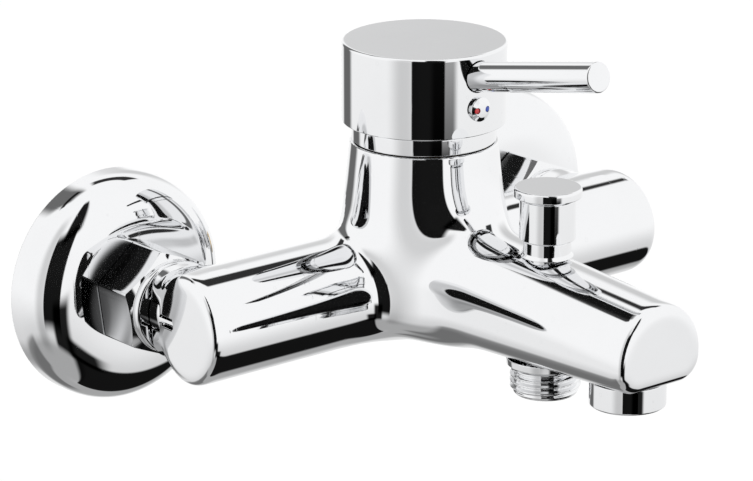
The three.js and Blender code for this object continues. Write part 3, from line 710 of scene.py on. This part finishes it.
def make_dot(name, side):
    """A drop of enamel: its top is a shallow dome."""
    low = CAP_RADIUS + 0.95
    outline = [(0, low, 0), (0.9, low, 0), (0.9, low + 0.55, 0.25), (0, low + 0.95, 0)]
    return turned(name, outline, dot_place(side), steps=40)


def make_collar(radius, low, high):
    outline = [(COLLAR_BORE, low, 0.2), (radius, low, 0.3), (radius, high, 0.8),
               (COLLAR_BORE, high, 0.2)]
    return turned("column_collar", outline, placed(0, COLUMN_Y, 0), steps=160)


plug = make_plug()
hot_dot, cold_dot = make_dot("hot_dot", -1), make_dot("cold_dot", 1)
collar = make_collar(half_width("collar_ring"), *heights("collar_ring"))
print("plug radius", round(PLUG_RADIUS, 2), "collar radius", round(half_width("collar_ring"), 2))

# %% [markdown]
# ## The diverter
# A pull-up knob on a threaded bonnet sends the water to the shower. The knob is one turned part
# with a thin disc on a slightly narrower body, and the bonnet below it is turned too.

# %% Knob and bonnet
KNOB_RADIUS = half_width("diverter_knob")
BONNET_RADIUS = half_width("diverter_bonnet")
diverter_place = placed(0, DIVERTER_Y, 0)


def make_knob():
    under = KNOB_TOP - 2.8
    body = KNOB_RADIUS - 1.85
    outline = [(0, under + 0.6, 0), (2.1, under + 0.6, 0), (2.1, under - 2.4, 0.2),
               (5.3, under - 2.4, 0.2), (5.3, KNOB_LOW, 0.2), (body, KNOB_LOW, 0.3),
               (body, under - 0.9, 0.3), (body - 0.7, under - 0.4, 0.1), (body - 0.7, under, 0.1),
               (KNOB_RADIUS, under, 0.35), (KNOB_RADIUS, KNOB_TOP, 0.8), (0, KNOB_TOP, 0)]
    return turned("diverter_pull", outline, diverter_place)


def make_bonnet():
    low, high = BONNET_LOW, KNOB_LOW - 0.3
    seat = low + 10
    barrel = BONNET_RADIUS - 1
    outline = [(2.1, low, 0.1), (4.3, low, 0.1), (4.3, low + 2.6, 0.1), (5.9, low + 2.6, 0.1),
               (5.9, seat, 0), (BONNET_RADIUS, seat, 0.2), (barrel, seat + 1.2, 0.3),
               (barrel, high, 0.4), (5.0, high, 0.1), (5.0, BONNET_TOP, 0.3), (2.1, BONNET_TOP, 0.1)]
    return turned("diverter_guide", outline, diverter_place)


knob, bonnet = make_knob(), make_bonnet()
print("knob from", round(KNOB_LOW, 1), "to", round(KNOB_TOP, 1))

# %% [markdown]
# ## The shower outlet's thread
# A pipe thread is a ridge that climbs by one pitch in each turn. It could be a Screw modifier on a
# tooth outline, but then its ends stay ragged. Here a flat grid is rolled into a tube, and a rule
# of the angle and the height sets each point's radius, with the ridge fading out at both ends.
# The same tree makes the threads that go into the wall.

# %% A thread by rule
PIPE_PITCH = 1.814
CREST_START, CREST_SLOPE = 0.16, 1.45


def make_thread_tree():
    s, given, out = shape_group("pipe_thread", {
        "Radius": 10.48, "Depth": 1.0, "Pitch": PIPE_PITCH, "Low": 0.0, "High": 10.0, "Inner": 8.6,
        "Around": 144, "Rows": 120})
    low, high, rows = given["Low"], given["High"], given["Rows"]
    grid = s.node("GeometryNodeMeshGrid", {"Vertices X": s.add(given["Around"], 1.0),
                                           "Vertices Y": s.add(rows, 4.0)})
    flat = s.split(s.here())
    u = s.add(flat[0], 0.5)
    row = s.do("ROUND", s.mul(s.add(flat[1], 0.5), s.add(rows, 3.0)))
    rise = s.between(s.do("DIVIDE", s.sub(row, 1.0), rows), 0.0, 1.0)
    last = s.do("GREATER_THAN", row, s.add(rows, 2.5))
    z = s.add(low, s.mul(s.mul(s.sub(high, low), rise), s.sub(1.0, last)))
    turn = s.sub(s.do("DIVIDE", z, given["Pitch"]), u)
    wave = s.do("ABSOLUTE", s.sub(s.mul(s.do("FRACT", turn), 2.0), 1.0))
    ridge = s.between(s.mul(s.sub(wave, CREST_START), CREST_SLOPE), 0.0, 1.0)
    ends = s.low(s.sub(z, low), s.sub(high, z))
    fade = s.low(s.do("DIVIDE", ends, given["Pitch"]), 1.0)
    outer = s.sub(given["Radius"], s.mul(given["Depth"], s.sub(1.0, s.mul(ridge, fade))))
    inside = s.high(s.do("LESS_THAN", row, 0.5), s.do("GREATER_THAN", row, s.add(rows, 1.5)))
    radius = s.add(s.mul(given["Inner"], inside), s.mul(outer, s.sub(1.0, inside)))
    angle = s.mul(u, 2 * math.pi)
    place = (s.mul(radius, s.do("COSINE", angle)), s.mul(radius, s.do("SINE", angle)), z)
    rolled = s.moved(grid.outputs["Mesh"], Position=s.combine(*(s.mul(v, mm) for v in place)))
    merge = s.node("GeometryNodeMergeByDistance", {"Geometry": rolled, "Distance": 1e-6})
    s.end(merge.outputs[0], out)
    return s.tree


thread_tree = make_thread_tree()


def make_thread(name, place, **sizes):
    obj = face_outwards(run_tree(name, thread_tree, **sizes))
    obj.data.transform(place)
    return smooth_by_angle(obj, 50)


# %% The outlet and its thread
OUTLET_FACE = OUTLET_TOP - 5.0
OUTLET_BORE = 6.38
THREAD_LOW = OUTLET_LOW + 0.5
THREAD_HIGH = OUTLET_FACE - 2.4


def make_outlet():
    pipe, neck, seat = 9.2, 8.68, 5.0
    top = OUTLET_FACE + 5.0
    outline = [(OUTLET_BORE, OUTLET_LOW, 0.4), (pipe, OUTLET_LOW, 0.4), (pipe, THREAD_HIGH, 0.1),
               (11.5, OUTLET_FACE - 2.2, 0.3), (11.78, OUTLET_FACE, 0.2), (neck, OUTLET_FACE, 0),
               (neck, top, 0.2), (seat, top, 0.2), (seat, OUTLET_FACE, 0), (OUTLET_BORE, OUTLET_FACE, 0)]
    return turned("outlet_nipple", outline, diverter_place)


outlet_thread = make_thread("outlet_thread", diverter_place, Radius=10.48, Depth=1.05,
                            Low=THREAD_LOW, High=THREAD_HIGH, Inner=8.4)
outlet = make_outlet()
print("thread rings:", round((THREAD_HIGH - THREAD_LOW) / PIPE_PITCH, 1))

# %% [markdown]
# ## The aerator
# The water leaves through a turned sleeve with a fine honeycomb screen, which is seen only from
# below. Cutting hundreds of holes with booleans would be slow, so Geometry Nodes place one small
# six-sided tube at each point of a staggered grid and keep those inside the sleeve.

# %% Sleeve and honeycomb
AERATOR_RADIUS = half_width("aerator_housing")
SCREEN_HALF = 8
aerator_place = placed(0, AERATOR_Y, 0)


def make_sleeve():
    low, top = AERATOR_LOW, AERATOR_TOP
    face = top - 4.7
    bore = AERATOR_RADIUS - 3
    outline = [(bore + 1, low, 0.3), (AERATOR_RADIUS, low, 0.7), (AERATOR_RADIUS, face, 0.3),
               (9.6, face, 0), (9.6, top, 0.3), (bore, top, 0.3), (bore, low + 4.2, 0),
               (bore - 1, low + 4.2, 0.1), (bore - 1, low + 1.4, 0.3), (bore + 1, low + 0.6, 0.2)]
    return turned("outlet_sleeve", outline, aerator_place)


def make_screen_tree():
    s, given, out = shape_group("honeycomb", {"Radius": 7.4, "Cell": 1.25, "Depth": 1.6, "Wall": 0.22})
    size, count = float(2 * SCREEN_HALF), 2 * SCREEN_HALF + 1
    grid = s.node("GeometryNodeMeshGrid", {"Size X": size, "Size Y": size, "Vertices X": count,
                                           "Vertices Y": count})
    column, row, _ = s.split(s.here())
    odd = s.do("FLOORED_MODULO", s.do("ROUND", row), 2.0)
    x = s.mul(s.add(column, s.mul(odd, 0.5)), given["Cell"])
    y = s.mul(row, s.mul(given["Cell"], math.sqrt(3) / 2))
    points = s.moved(grid.outputs["Mesh"], Position=s.combine(s.mul(x, mm), s.mul(y, mm)))
    ring = s.node("GeometryNodeCurvePrimitiveCircle", {
        "Resolution": 6, "Radius": s.mul(given["Cell"], 0.535 * mm)})
    section = s.node("GeometryNodeCurvePrimitiveQuadrilateral", {
        "Width": s.mul(given["Wall"], mm), "Height": s.mul(given["Depth"], mm)})
    tube = s.node("GeometryNodeCurveToMesh", {
        "Curve": ring.outputs[0], "Profile Curve": section.outputs[0]})
    inside = s.do("LESS_THAN", s.vector("LENGTH", s.here()), s.mul(given["Radius"], mm))
    spread = s.node("GeometryNodeInstanceOnPoints", {
        "Points": points, "Instance": tube.outputs[0], "Selection": inside,
        "Rotation": (0, 0, math.pi / 6)})
    s.end(spread.outputs[0], out)
    return s.tree


def make_screen_rim(low):
    outline = [(7.0, low, 0.2), (7.9, low, 0.2), (7.9, low + 3, 0.2), (7.0, low + 3, 0.2)]
    return turned("screen_rim", outline, aerator_place)


sleeve = make_sleeve()
screen = face_outwards(run_tree("outlet_screen", make_screen_tree()))
screen.data.transform(placed(0, AERATOR_Y, AERATOR_LOW + 5.4))
insert_ring = make_screen_rim(heights("aerator_insert")[0])
print("sleeve radius", round(AERATOR_RADIUS, 2), "honeycomb faces", len(screen.data.polygons))

# %% [markdown]
# ## The wall connections
# On each side a nut pulls the casting on to a connector in the wall, and a domed cover hides it.
# A nut is a six-sided bar turned to a cone at its end, which leaves a curved line on each flat.
# Rounding a hexagon's edges would miss those curves, so the nut's height follows its radius.

# %% Union nuts
NUT_FLATS = 29.4
NUT_TURN = math.pi / 22
NUT_BORE, RING_BORE = 12.4, 10.2
NUT_FRONT, NUT_BACK = depths("union_nut_left")


def hexagon_outline(flats, turn, corner=0.9, across=14, arc=5):
    """Points round a six-sided bar with slightly rounded corners."""
    half = flats / 2
    out = []
    reach = half - corner
    for side in range(6):
        a = turn + side * math.pi / 3
        n, t = Vector((math.cos(a), math.sin(a))), Vector((-math.sin(a), math.cos(a)))
        width = reach * math.tan(math.pi / 6)
        for k in range(across):
            out.append(n * half + t * (width * (2 * k / (across - 1) - 1)))
        centre = n * reach + t * width
        for k in range(1, arc):
            b = a + math.pi / 3 * k / arc
            out.append(centre + Vector((math.cos(b), math.sin(b))) * corner)
    return out


def make_nut(name, x):
    hexagon = hexagon_outline(NUT_FLATS, NUT_TURN)
    flat_front = NUT_FRONT - 2.2
    ring = NUT_FLATS / 2 - 0.8
    def circle(radius, height):
        return [Vector((*(p.normalized() * radius), height)) for p in hexagon]

    def bar(height, slope):
        """The six-sided bar, which drops outside the inner circle as a cone would cut it."""
        drop = [max(0.0, p.length - NUT_FLATS / 2 + 0.15) * slope for p in hexagon]
        return [Vector((p.x, p.y, height - d)) for p, d in zip(hexagon, drop)]

    rows = [circle(NUT_BORE, NUT_BACK), [Vector((*(p * 0.985), NUT_BACK)) for p in hexagon],
            bar(NUT_BACK + 0.22, 0), bar(flat_front - 0.1, 0.55), circle(ring + 0.35, flat_front),
            circle(ring + 0.1, flat_front + 0.05), circle(ring, flat_front + 0.2)]
    for k in range(7):
        a = math.pi / 2 * k / 6
        rows.append(circle(ring - 1.0 + math.cos(a), NUT_FRONT - 1.0 + math.sin(a)))
    rows += [circle(RING_BORE, NUT_FRONT), circle(RING_BORE, NUT_FRONT - 4),
             circle(NUT_BORE, NUT_FRONT - 4)]
    count = len(hexagon)
    verts = [v for row in rows for v in row]
    faces = []
    for i in range(len(rows)):
        low, high = i * count, (i + 1) % len(rows) * count
        for k in range(count):
            n = (k + 1) % count
            faces.append((low + k, low + n, high + n, high + k))
    obj = mesh_object(name, verts, faces)
    obj.data.transform(placed(x, 0, 0, OUTWARD))
    smooth_by_angle(obj, 24)
    obj.modifiers.new("weighted", "WEIGHTED_NORMAL").keep_sharp = True
    return apply_modifiers(obj)


nuts = [make_nut("nut_" + side, x) for side, x in SIDES]
print("nut from", round(NUT_BACK, 1), "to", round(NUT_FRONT, 1), "mm off the wall")

# %% Covers, tails and connectors
COVER_RADIUS = half_width("escutcheon_left")
COVER_DEPTH = depths("escutcheon_left")[0]
COVER_RIM = 3.5
COVER_FULLNESS = 0.77
COVER_WALL = 1.5
COVER_FLAT = 16.0


def dome(radius, depth, steps):
    points = []
    for k in range(steps + 1):
        a = math.pi / 2 * k / steps
        u, v = math.cos(a) ** COVER_FULLNESS, math.sin(a) ** COVER_FULLNESS
        points.append((COVER_FLAT + (radius - COVER_FLAT) * u, COVER_RIM + depth * v, 0))
    return points


def make_cover(name, x):
    outer = dome(COVER_RADIUS, COVER_DEPTH - COVER_RIM, 40)
    inner = dome(COVER_RADIUS - COVER_WALL, COVER_DEPTH - COVER_RIM - COVER_WALL, 40)
    outline = [(COVER_RADIUS - COVER_WALL, 0, 0.3), (COVER_RADIUS, 0, 0.3)] + outer
    outline += [(12.6, COVER_DEPTH, 0.3), (12.6, COVER_DEPTH - COVER_WALL, 0.3)] + inner[::-1]
    return turned(name, outline, placed(x, 0, 0, OUTWARD), steps=160)


def make_tail(name, x):
    front, back = depths("inlet_tail_left")
    outline = [(7.0, back, 0.2), (12.1, back, 0.3), (12.1, back + 2.2, 0.3), (9.9, back + 2.2, 0),
               (9.9, front, 0.3), (7.0, front, 0.3)]
    return turned(name, outline, placed(x, 0, 0, OUTWARD), steps=96)


covers = [make_cover("cover_" + side, x) for side, x in SIDES]
tails = [make_tail("tail_" + side, x) for side, x in SIDES]
print("cover radius", round(COVER_RADIUS, 2), "depth", round(COVER_DEPTH, 2))

# %% [markdown]
# ## The threads in the wall
# The two connectors are cast brass with an offset waist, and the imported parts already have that
# shape. Only their wall ends are plain there, so the thread tree gives each one a real ridge.

# %% Wall threads
WALL_THREAD = 16.0
WALL_DROP = 12.0
WALL_RADIUS = 10.3
wall_threads = []
for side, x in SIDES:
    wall_threads.append(make_thread("wall_thread_" + side, placed(x, 0, -WALL_DROP, OUTWARD),
                                    Radius=WALL_RADIUS, Depth=0.9, Low=-WALL_THREAD + 0.1, High=-0.6,
                                    Inner=8.9, Around=96, Rows=100))
print("wall threads", [round(v, 1) for v in (Vector(wall_threads[0].bound_box[0]) / mm)])

# %% [markdown]
# ## Finishes
# Chrome is a mirror, so its look is mostly what it reflects. What makes it real is what sits on
# the mirror: hair-fine polishing lines, dried water spots and faint smears from hands, all of
# them in the roughness and the bump and hardly in the colour. These effects are small node groups
# that give masks, and each material mixes them in its own way.

# %% Shared effects
def noise(s, place, scale, detail=3.0, rough=0.5):
    inputs = {"Vector": place, "Scale": scale, "Detail": detail, "Roughness": rough}
    return s.node("ShaderNodeTexNoise", inputs).outputs[0]


def band(s, value, low, high):
    """Maps low..high to 0..1 with soft ends."""
    inputs = {"Value": value, "From Min": low, "From Max": high}
    return s.node("ShaderNodeMapRange", inputs, interpolation_type="SMOOTHSTEP").outputs[0]


def mask_group(name, scale):
    inputs = {"Place": "Vector", "Scale": scale}
    return new_group("ShaderNodeTree", name, inputs, ("Mask", "Float"))


def make_scratches():
    """Sparse hair-fine lines in three directions."""
    s, given, out = mask_group("hair_scratches", 60.0)
    total = 0.0
    for turn in ((0.3, 0.9, 0.2), (1.9, 0.1, 1.1), (0.8, 2.3, 2.6)):
        stretched = s.node("ShaderNodeMapping", {
            "Vector": given["Place"], "Rotation": turn, "Scale": (60.0, 2.0, 2.0)}).outputs[0]
        lines = band(s, noise(s, stretched, given["Scale"], 1.0), 0.665, 0.70)
        gaps = band(s, noise(s, given["Place"], 90.0, 2.0), 0.5, 0.62)
        total = s.high(total, s.mul(lines, gaps))
    s.put(out, total)
    return s.tree


def make_spots():
    """Dried drops: faint rings of different sizes, on some cells only."""
    s, given, out = mask_group("dried_drops", 130.0)
    inputs = {"Vector": given["Place"], "Scale": given["Scale"]}
    cells = s.node("ShaderNodeTexVoronoi", inputs, feature="F1")
    chance = s.node("ShaderNodeSeparateColor", {0: cells.outputs["Color"]}).outputs
    size = s.add(0.05, s.mul(chance[0], 0.16))
    edge = s.do("DIVIDE", cells.outputs["Distance"], size)
    ring = s.mul(band(s, edge, 0.55, 0.92), s.sub(1.0, band(s, edge, 0.95, 1.1)))
    s.put(out, s.mul(ring, s.do("GREATER_THAN", chance[1], 0.72)))
    return s.tree


def make_smears():
    """Broad soft patches where hands and cloths have passed."""
    s, given, out = mask_group("hand_smears", 22.0)
    s.put(out, band(s, noise(s, given["Place"], given["Scale"], 4.0, 0.6), 0.48, 0.72))
    return s.tree


scratches, spots, smears = make_scratches(), make_spots(), make_smears()
print("effects:", scratches.name, spots.name, smears.name)

# %% Starting a material
def new_material(name, colour, metallic, viewport_rough):
    m = bpy.data.materials.new(name)
    m.use_nodes = True
    m.diffuse_color = (*colour, 1)
    m.metallic, m.roughness = metallic, viewport_rough
    s = Sums(m.node_tree)
    shader = next(n for n in m.node_tree.nodes if n.type == "BSDF_PRINCIPLED")
    shader.inputs["Metallic"].default_value = metallic
    place = s.node("ShaderNodeTexCoord").outputs["Object"]
    return m, s, shader, place


def effect(s, group, place, scale):
    inputs = {"Place": place, "Scale": scale}
    return s.node("ShaderNodeGroup", inputs, node_tree=group).outputs["Mask"]


def tinted(s, shader, low, high, mask):
    """Base colour between two tones by a mask."""
    mix = s.node("ShaderNodeMix", {"Factor": mask, "A": (*low, 1), "B": (*high, 1)}, data_type="RGBA")
    s.put(shader.inputs["Base Color"], mix.outputs["Result"])


def bumped(s, shader, height, distance):
    n = s.node("ShaderNodeBump", {"Strength": 1.0, "Distance": distance, "Height": height})
    s.put(shader.inputs["Normal"], n.outputs[0])


# %% Chrome and the metals under it
def make_chrome():
    m, s, shader, place = new_material("chrome", (0.78, 0.79, 0.8), 1.0, 0.05)
    lines = effect(s, scratches, place, 14.0)
    drops = effect(s, spots, place, 260.0)
    hands = effect(s, smears, place, 24.0)
    rough = s.add(0.03, s.mul(hands, 0.025))
    rough = s.add(rough, s.add(s.mul(drops, 0.05), s.mul(lines, 0.04)))
    s.put(shader.inputs["Roughness"], rough)
    tinted(s, shader, (0.86, 0.865, 0.875), (0.83, 0.835, 0.845), s.high(s.mul(hands, 0.5), drops))
    bumped(s, shader, s.sub(s.mul(drops, 0.3), lines), 0.000002)
    return m


def make_turned_metal(name, low, high, rough, pitch):
    """Bare metal with tool marks: fine lines across it and a little stain."""
    m, s, shader, place = new_material(name, high, 1.0, rough)
    split = s.node("ShaderNodeSeparateXYZ")
    s.put(split.inputs[0], place)
    along = s.add(split.outputs[1], split.outputs[2])
    marks = s.do("SINE", s.mul(along, 2 * math.pi / pitch))
    stain = effect(s, smears, place, 60.0)
    lines = effect(s, scratches, place, 20.0)
    s.put(shader.inputs["Roughness"], s.add(s.add(rough, s.mul(stain, 0.12)), s.mul(lines, 0.08)))
    tinted(s, shader, high, low, stain)
    bumped(s, shader, s.add(s.mul(marks, 0.5), s.mul(lines, -1.0)), 0.000008)
    return m


# Each metal: its stained and clean colours, its roughness and the pitch of its tool marks.
METALS = {
    "raw_brass": ((0.45, 0.30, 0.12), (0.74, 0.55, 0.27), 0.28, 0.0004),
    "steel": ((0.36, 0.36, 0.37), (0.60, 0.61, 0.62), 0.24, 0.0003),
}
FINISHES = {"chrome": make_chrome()}
for name, look in METALS.items():
    FINISHES[name] = make_turned_metal(name, *look)
print("metals:", *FINISHES)

# %% Rubber, plastic, ceramic and enamel
def make_moulded(name, low, high, rough, grain, depth, coat=0.0):
    """A moulded part: fine grain in the bump, handling in the roughness, dust in the colour."""
    m, s, shader, place = new_material(name, high, 0.0, rough)
    fine = noise(s, place, grain, 4.0, 0.6)
    dust = effect(s, smears, place, 70.0)
    lines = effect(s, scratches, place, 24.0)
    s.put(shader.inputs["Roughness"], s.add(s.add(rough, s.mul(dust, 0.1)), s.mul(lines, -0.06)))
    tinted(s, shader, high, low, s.high(dust, s.mul(fine, 0.35)))
    bumped(s, shader, s.sub(fine, lines), depth)
    shader.inputs["Coat Weight"].default_value = coat
    shader.inputs["Coat Roughness"].default_value = 0.06
    return m


# Each: its dusty and clean colours, roughness, grain, depth of the grain, and coat if it has one.
MOULDED = {
    "rubber": ((0.075, 0.073, 0.07), (0.018, 0.018, 0.019), 0.62, 2600, 0.00003),
    "grey_plastic": ((0.40, 0.42, 0.45), (0.29, 0.31, 0.34), 0.42, 1800, 0.00002),
    "white_plastic": ((0.70, 0.69, 0.66), (0.84, 0.83, 0.80), 0.38, 1800, 0.00002),
    "disc_ceramic": ((0.82, 0.80, 0.74), (0.90, 0.88, 0.83), 0.16, 5200, 0.000004),
    "red_paint": ((0.40, 0.008, 0.012), (0.62, 0.012, 0.02), 0.22, 900, 0.00001, 0.7),
    "blue_paint": ((0.008, 0.03, 0.22), (0.012, 0.06, 0.42), 0.22, 900, 0.00001, 0.7),
}
for name, look in MOULDED.items():
    FINISHES[name] = make_moulded(name, *look)
print("finishes:", *FINISHES)

# %% Finish every piece


def paint(obj, material):
    obj.data.materials.clear()
    obj.data.materials.append(material)
    obj.data.polygons.foreach_set("material_index", np.zeros(len(obj.data.polygons), np.int32))


for part in frame["record"]["subparts"]:
    node = frame["nodes"].get(part["node"])
    if node is None:
        continue
    for place_slot in node.material_slots:
        place_slot.material = FINISHES[part["material_slot"]]
print("packed parts painted:", len(frame["nodes"]))

# %% [markdown]
# ## What moves with what
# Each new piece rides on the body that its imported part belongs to, and stands for that part.

# %% Riding
PIECES = [
    (body, "faucet", "chrome", ["valve_body"]), (collar, "faucet", "chrome", ["collar_ring"]),
    (cap, "lever", "chrome", ["lever_cap"]), (rod, "lever", "chrome", ["lever_rod"]),
    (plug, "lever", "chrome", ["badge_plug"]), (hot_dot, "lever", "red_paint", ["badge_dot_red"]),
    (cold_dot, "lever", "blue_paint", ["badge_dot_blue"]),
    (knob, "diverter", "chrome", ["diverter_knob"]),
    (bonnet, "faucet", "chrome", ["diverter_bonnet"]),
    (outlet, "faucet", "chrome", ["shower_outlet_nipple"]), (outlet_thread, "faucet", "chrome", []),
    (sleeve, "faucet", "chrome", ["aerator_housing"]),
    (screen, "faucet", "white_plastic", ["aerator_insert"]),
    (insert_ring, "faucet", "white_plastic", []),
]
for number, side in enumerate(("left", "right")):
    PIECES += [(nuts[number], "nut_" + side, "chrome", ["union_nut_" + side]),
               (covers[number], "bell_" + side, "chrome", ["escutcheon_" + side]),
               (tails[number], "faucet", "chrome", ["inlet_tail_" + side]),
               (wall_threads[number], "faucet", "raw_brass", [])]
for piece, body_name, slot_name, nodes in PIECES:
    paint(piece, FINISHES[slot_name])
    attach(piece, body_name)
    if nodes:
        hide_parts(*nodes)
print("pieces riding:", len(PIECES))

# %% [markdown]
# ## Floor and light
# Polished metal shows the whole room, so the room is what is designed here: a pale floor, a white
# dome, and dark flags round the faucet. Without the flags chrome on white loses its outline. They
# are painted by direction in the world, for reflections only: all other light comes from an even
# white. The floor hides from reflections so that it does not wash them out.

# %% Floor
FLOOR_Z = -0.30
FLOOR_HALF = 6.0


def make_floor():
    me = bpy.data.meshes.new("floor")
    corners = [(x * FLOOR_HALF, y * FLOOR_HALF, FLOOR_Z) for x, y in ((-1, -1), (1, -1), (1, 1), (-1, 1))]
    me.from_pydata(corners, [], [(0, 1, 2, 3)])
    floor = add_object("floor", me)
    m, s, shader, place = new_material("pale_floor", (0.9, 0.9, 0.9), 0.0, 0.8)
    tinted(s, shader, (0.92, 0.92, 0.92), (0.90, 0.90, 0.90), noise(s, place, 3.0, 3.0))
    shader.inputs["Roughness"].default_value = 0.85
    shader.inputs["Specular IOR Level"].default_value = 0.1
    me.materials.append(m)
    floor.visible_glossy = False


make_floor()

# %% The dome and its flags
# Each flag is a soft-edged patch of the dome: azimuths from +Y towards +X and elevations, in
# degrees, the softness of its sides and of its top and bottom, and how much light it takes away.
FLAGS = [
    ("dark room behind the camera", -168, -122, -30, 42, 1.0, 6.0, 0.992),
    ("its upper part", -173, -142, 30, 80, 4.0, 4.0, 0.99),
    ("its lower part", -184, -150, -44, -14, 5.0, 4.0, 0.985),
    ("its dim left side", -126, -96, -50, 60, 12.0, 10.0, 0.32),
    ("dark floor beyond the table", 80, 180, -95, -39.5, 5.0, 1.5, 0.99),
    ("its nearer corner", 152, 184, -44, -31, 5.0, 2.0, 0.985),
    ("underside of the table", -190, 84, -95, -42, 4.0, 6.0, 0.42),
    ("shade under the wall end", -62, 20, -66, -38, 9.0, 3.0, 0.58),
    ("table top", -190, 190, -95, -22, 1.0, 18.0, 0.32),
    ("grey wall end", -16, 12, -30, 60, 5.0, 5.0, 0.85),
    ("slot over the wall", 24, 72, 42, 54, 3.0, 1.5, 0.97),
    ("grey ceiling patch", 32, 60, 6, 26, 12.0, 6.0, 0.36),
    ("slot over the wall end", -22, 8, 48.5, 54.5, 1.5, 1.0, 0.95),
]
DOME_LEVEL = 1.06
EVEN_LEVEL = 1.12


def patch(s, value, low, high, soft):
    """One between two limits, nothing outside them."""
    inside = s.sub(1.0, band(s, value, high - soft, high + soft))
    return s.mul(band(s, value, low - soft, low + soft), inside)


def make_world():
    world = bpy.data.worlds.new("studio")
    bpy.context.scene.world = world
    world.use_nodes = True
    s = Sums(world.node_tree)
    shader = next(n for n in world.node_tree.nodes if n.type == "BACKGROUND")
    x, y, z = s.split(s.node("ShaderNodeTexCoord").outputs["Generated"])
    azimuth = s.mul(s.do("ARCTAN2", x, y), 180 / math.pi)
    elevation = s.mul(s.do("ARCSINE", z), 180 / math.pi)
    light = 1.0
    for _, left, right, low, high, side_soft, end_soft, dark in FLAGS:
        centre = (left + right) / 2
        turn = s.sub(s.do("FLOORED_MODULO", s.add(azimuth, 540.0 - centre), 360.0), 180.0)
        across = patch(s, turn, left - centre, right - centre, side_soft)
        up = patch(s, elevation, low, high, end_soft)
        light = s.mul(light, s.sub(1.0, s.mul(s.mul(across, up), dark)))
    glossy = s.node("ShaderNodeLightPath").outputs["Is Glossy Ray"]
    seen = s.mul(s.mul(light, glossy), DOME_LEVEL)
    s.put(shader.inputs["Strength"], s.add(seen, s.mul(s.sub(1.0, glossy), EVEN_LEVEL)))
    shader.inputs["Color"].default_value = (1, 1, 1, 1)


make_world()
bpy.context.scene.view_settings.view_transform = "Standard"
print("flags:", len(FLAGS))
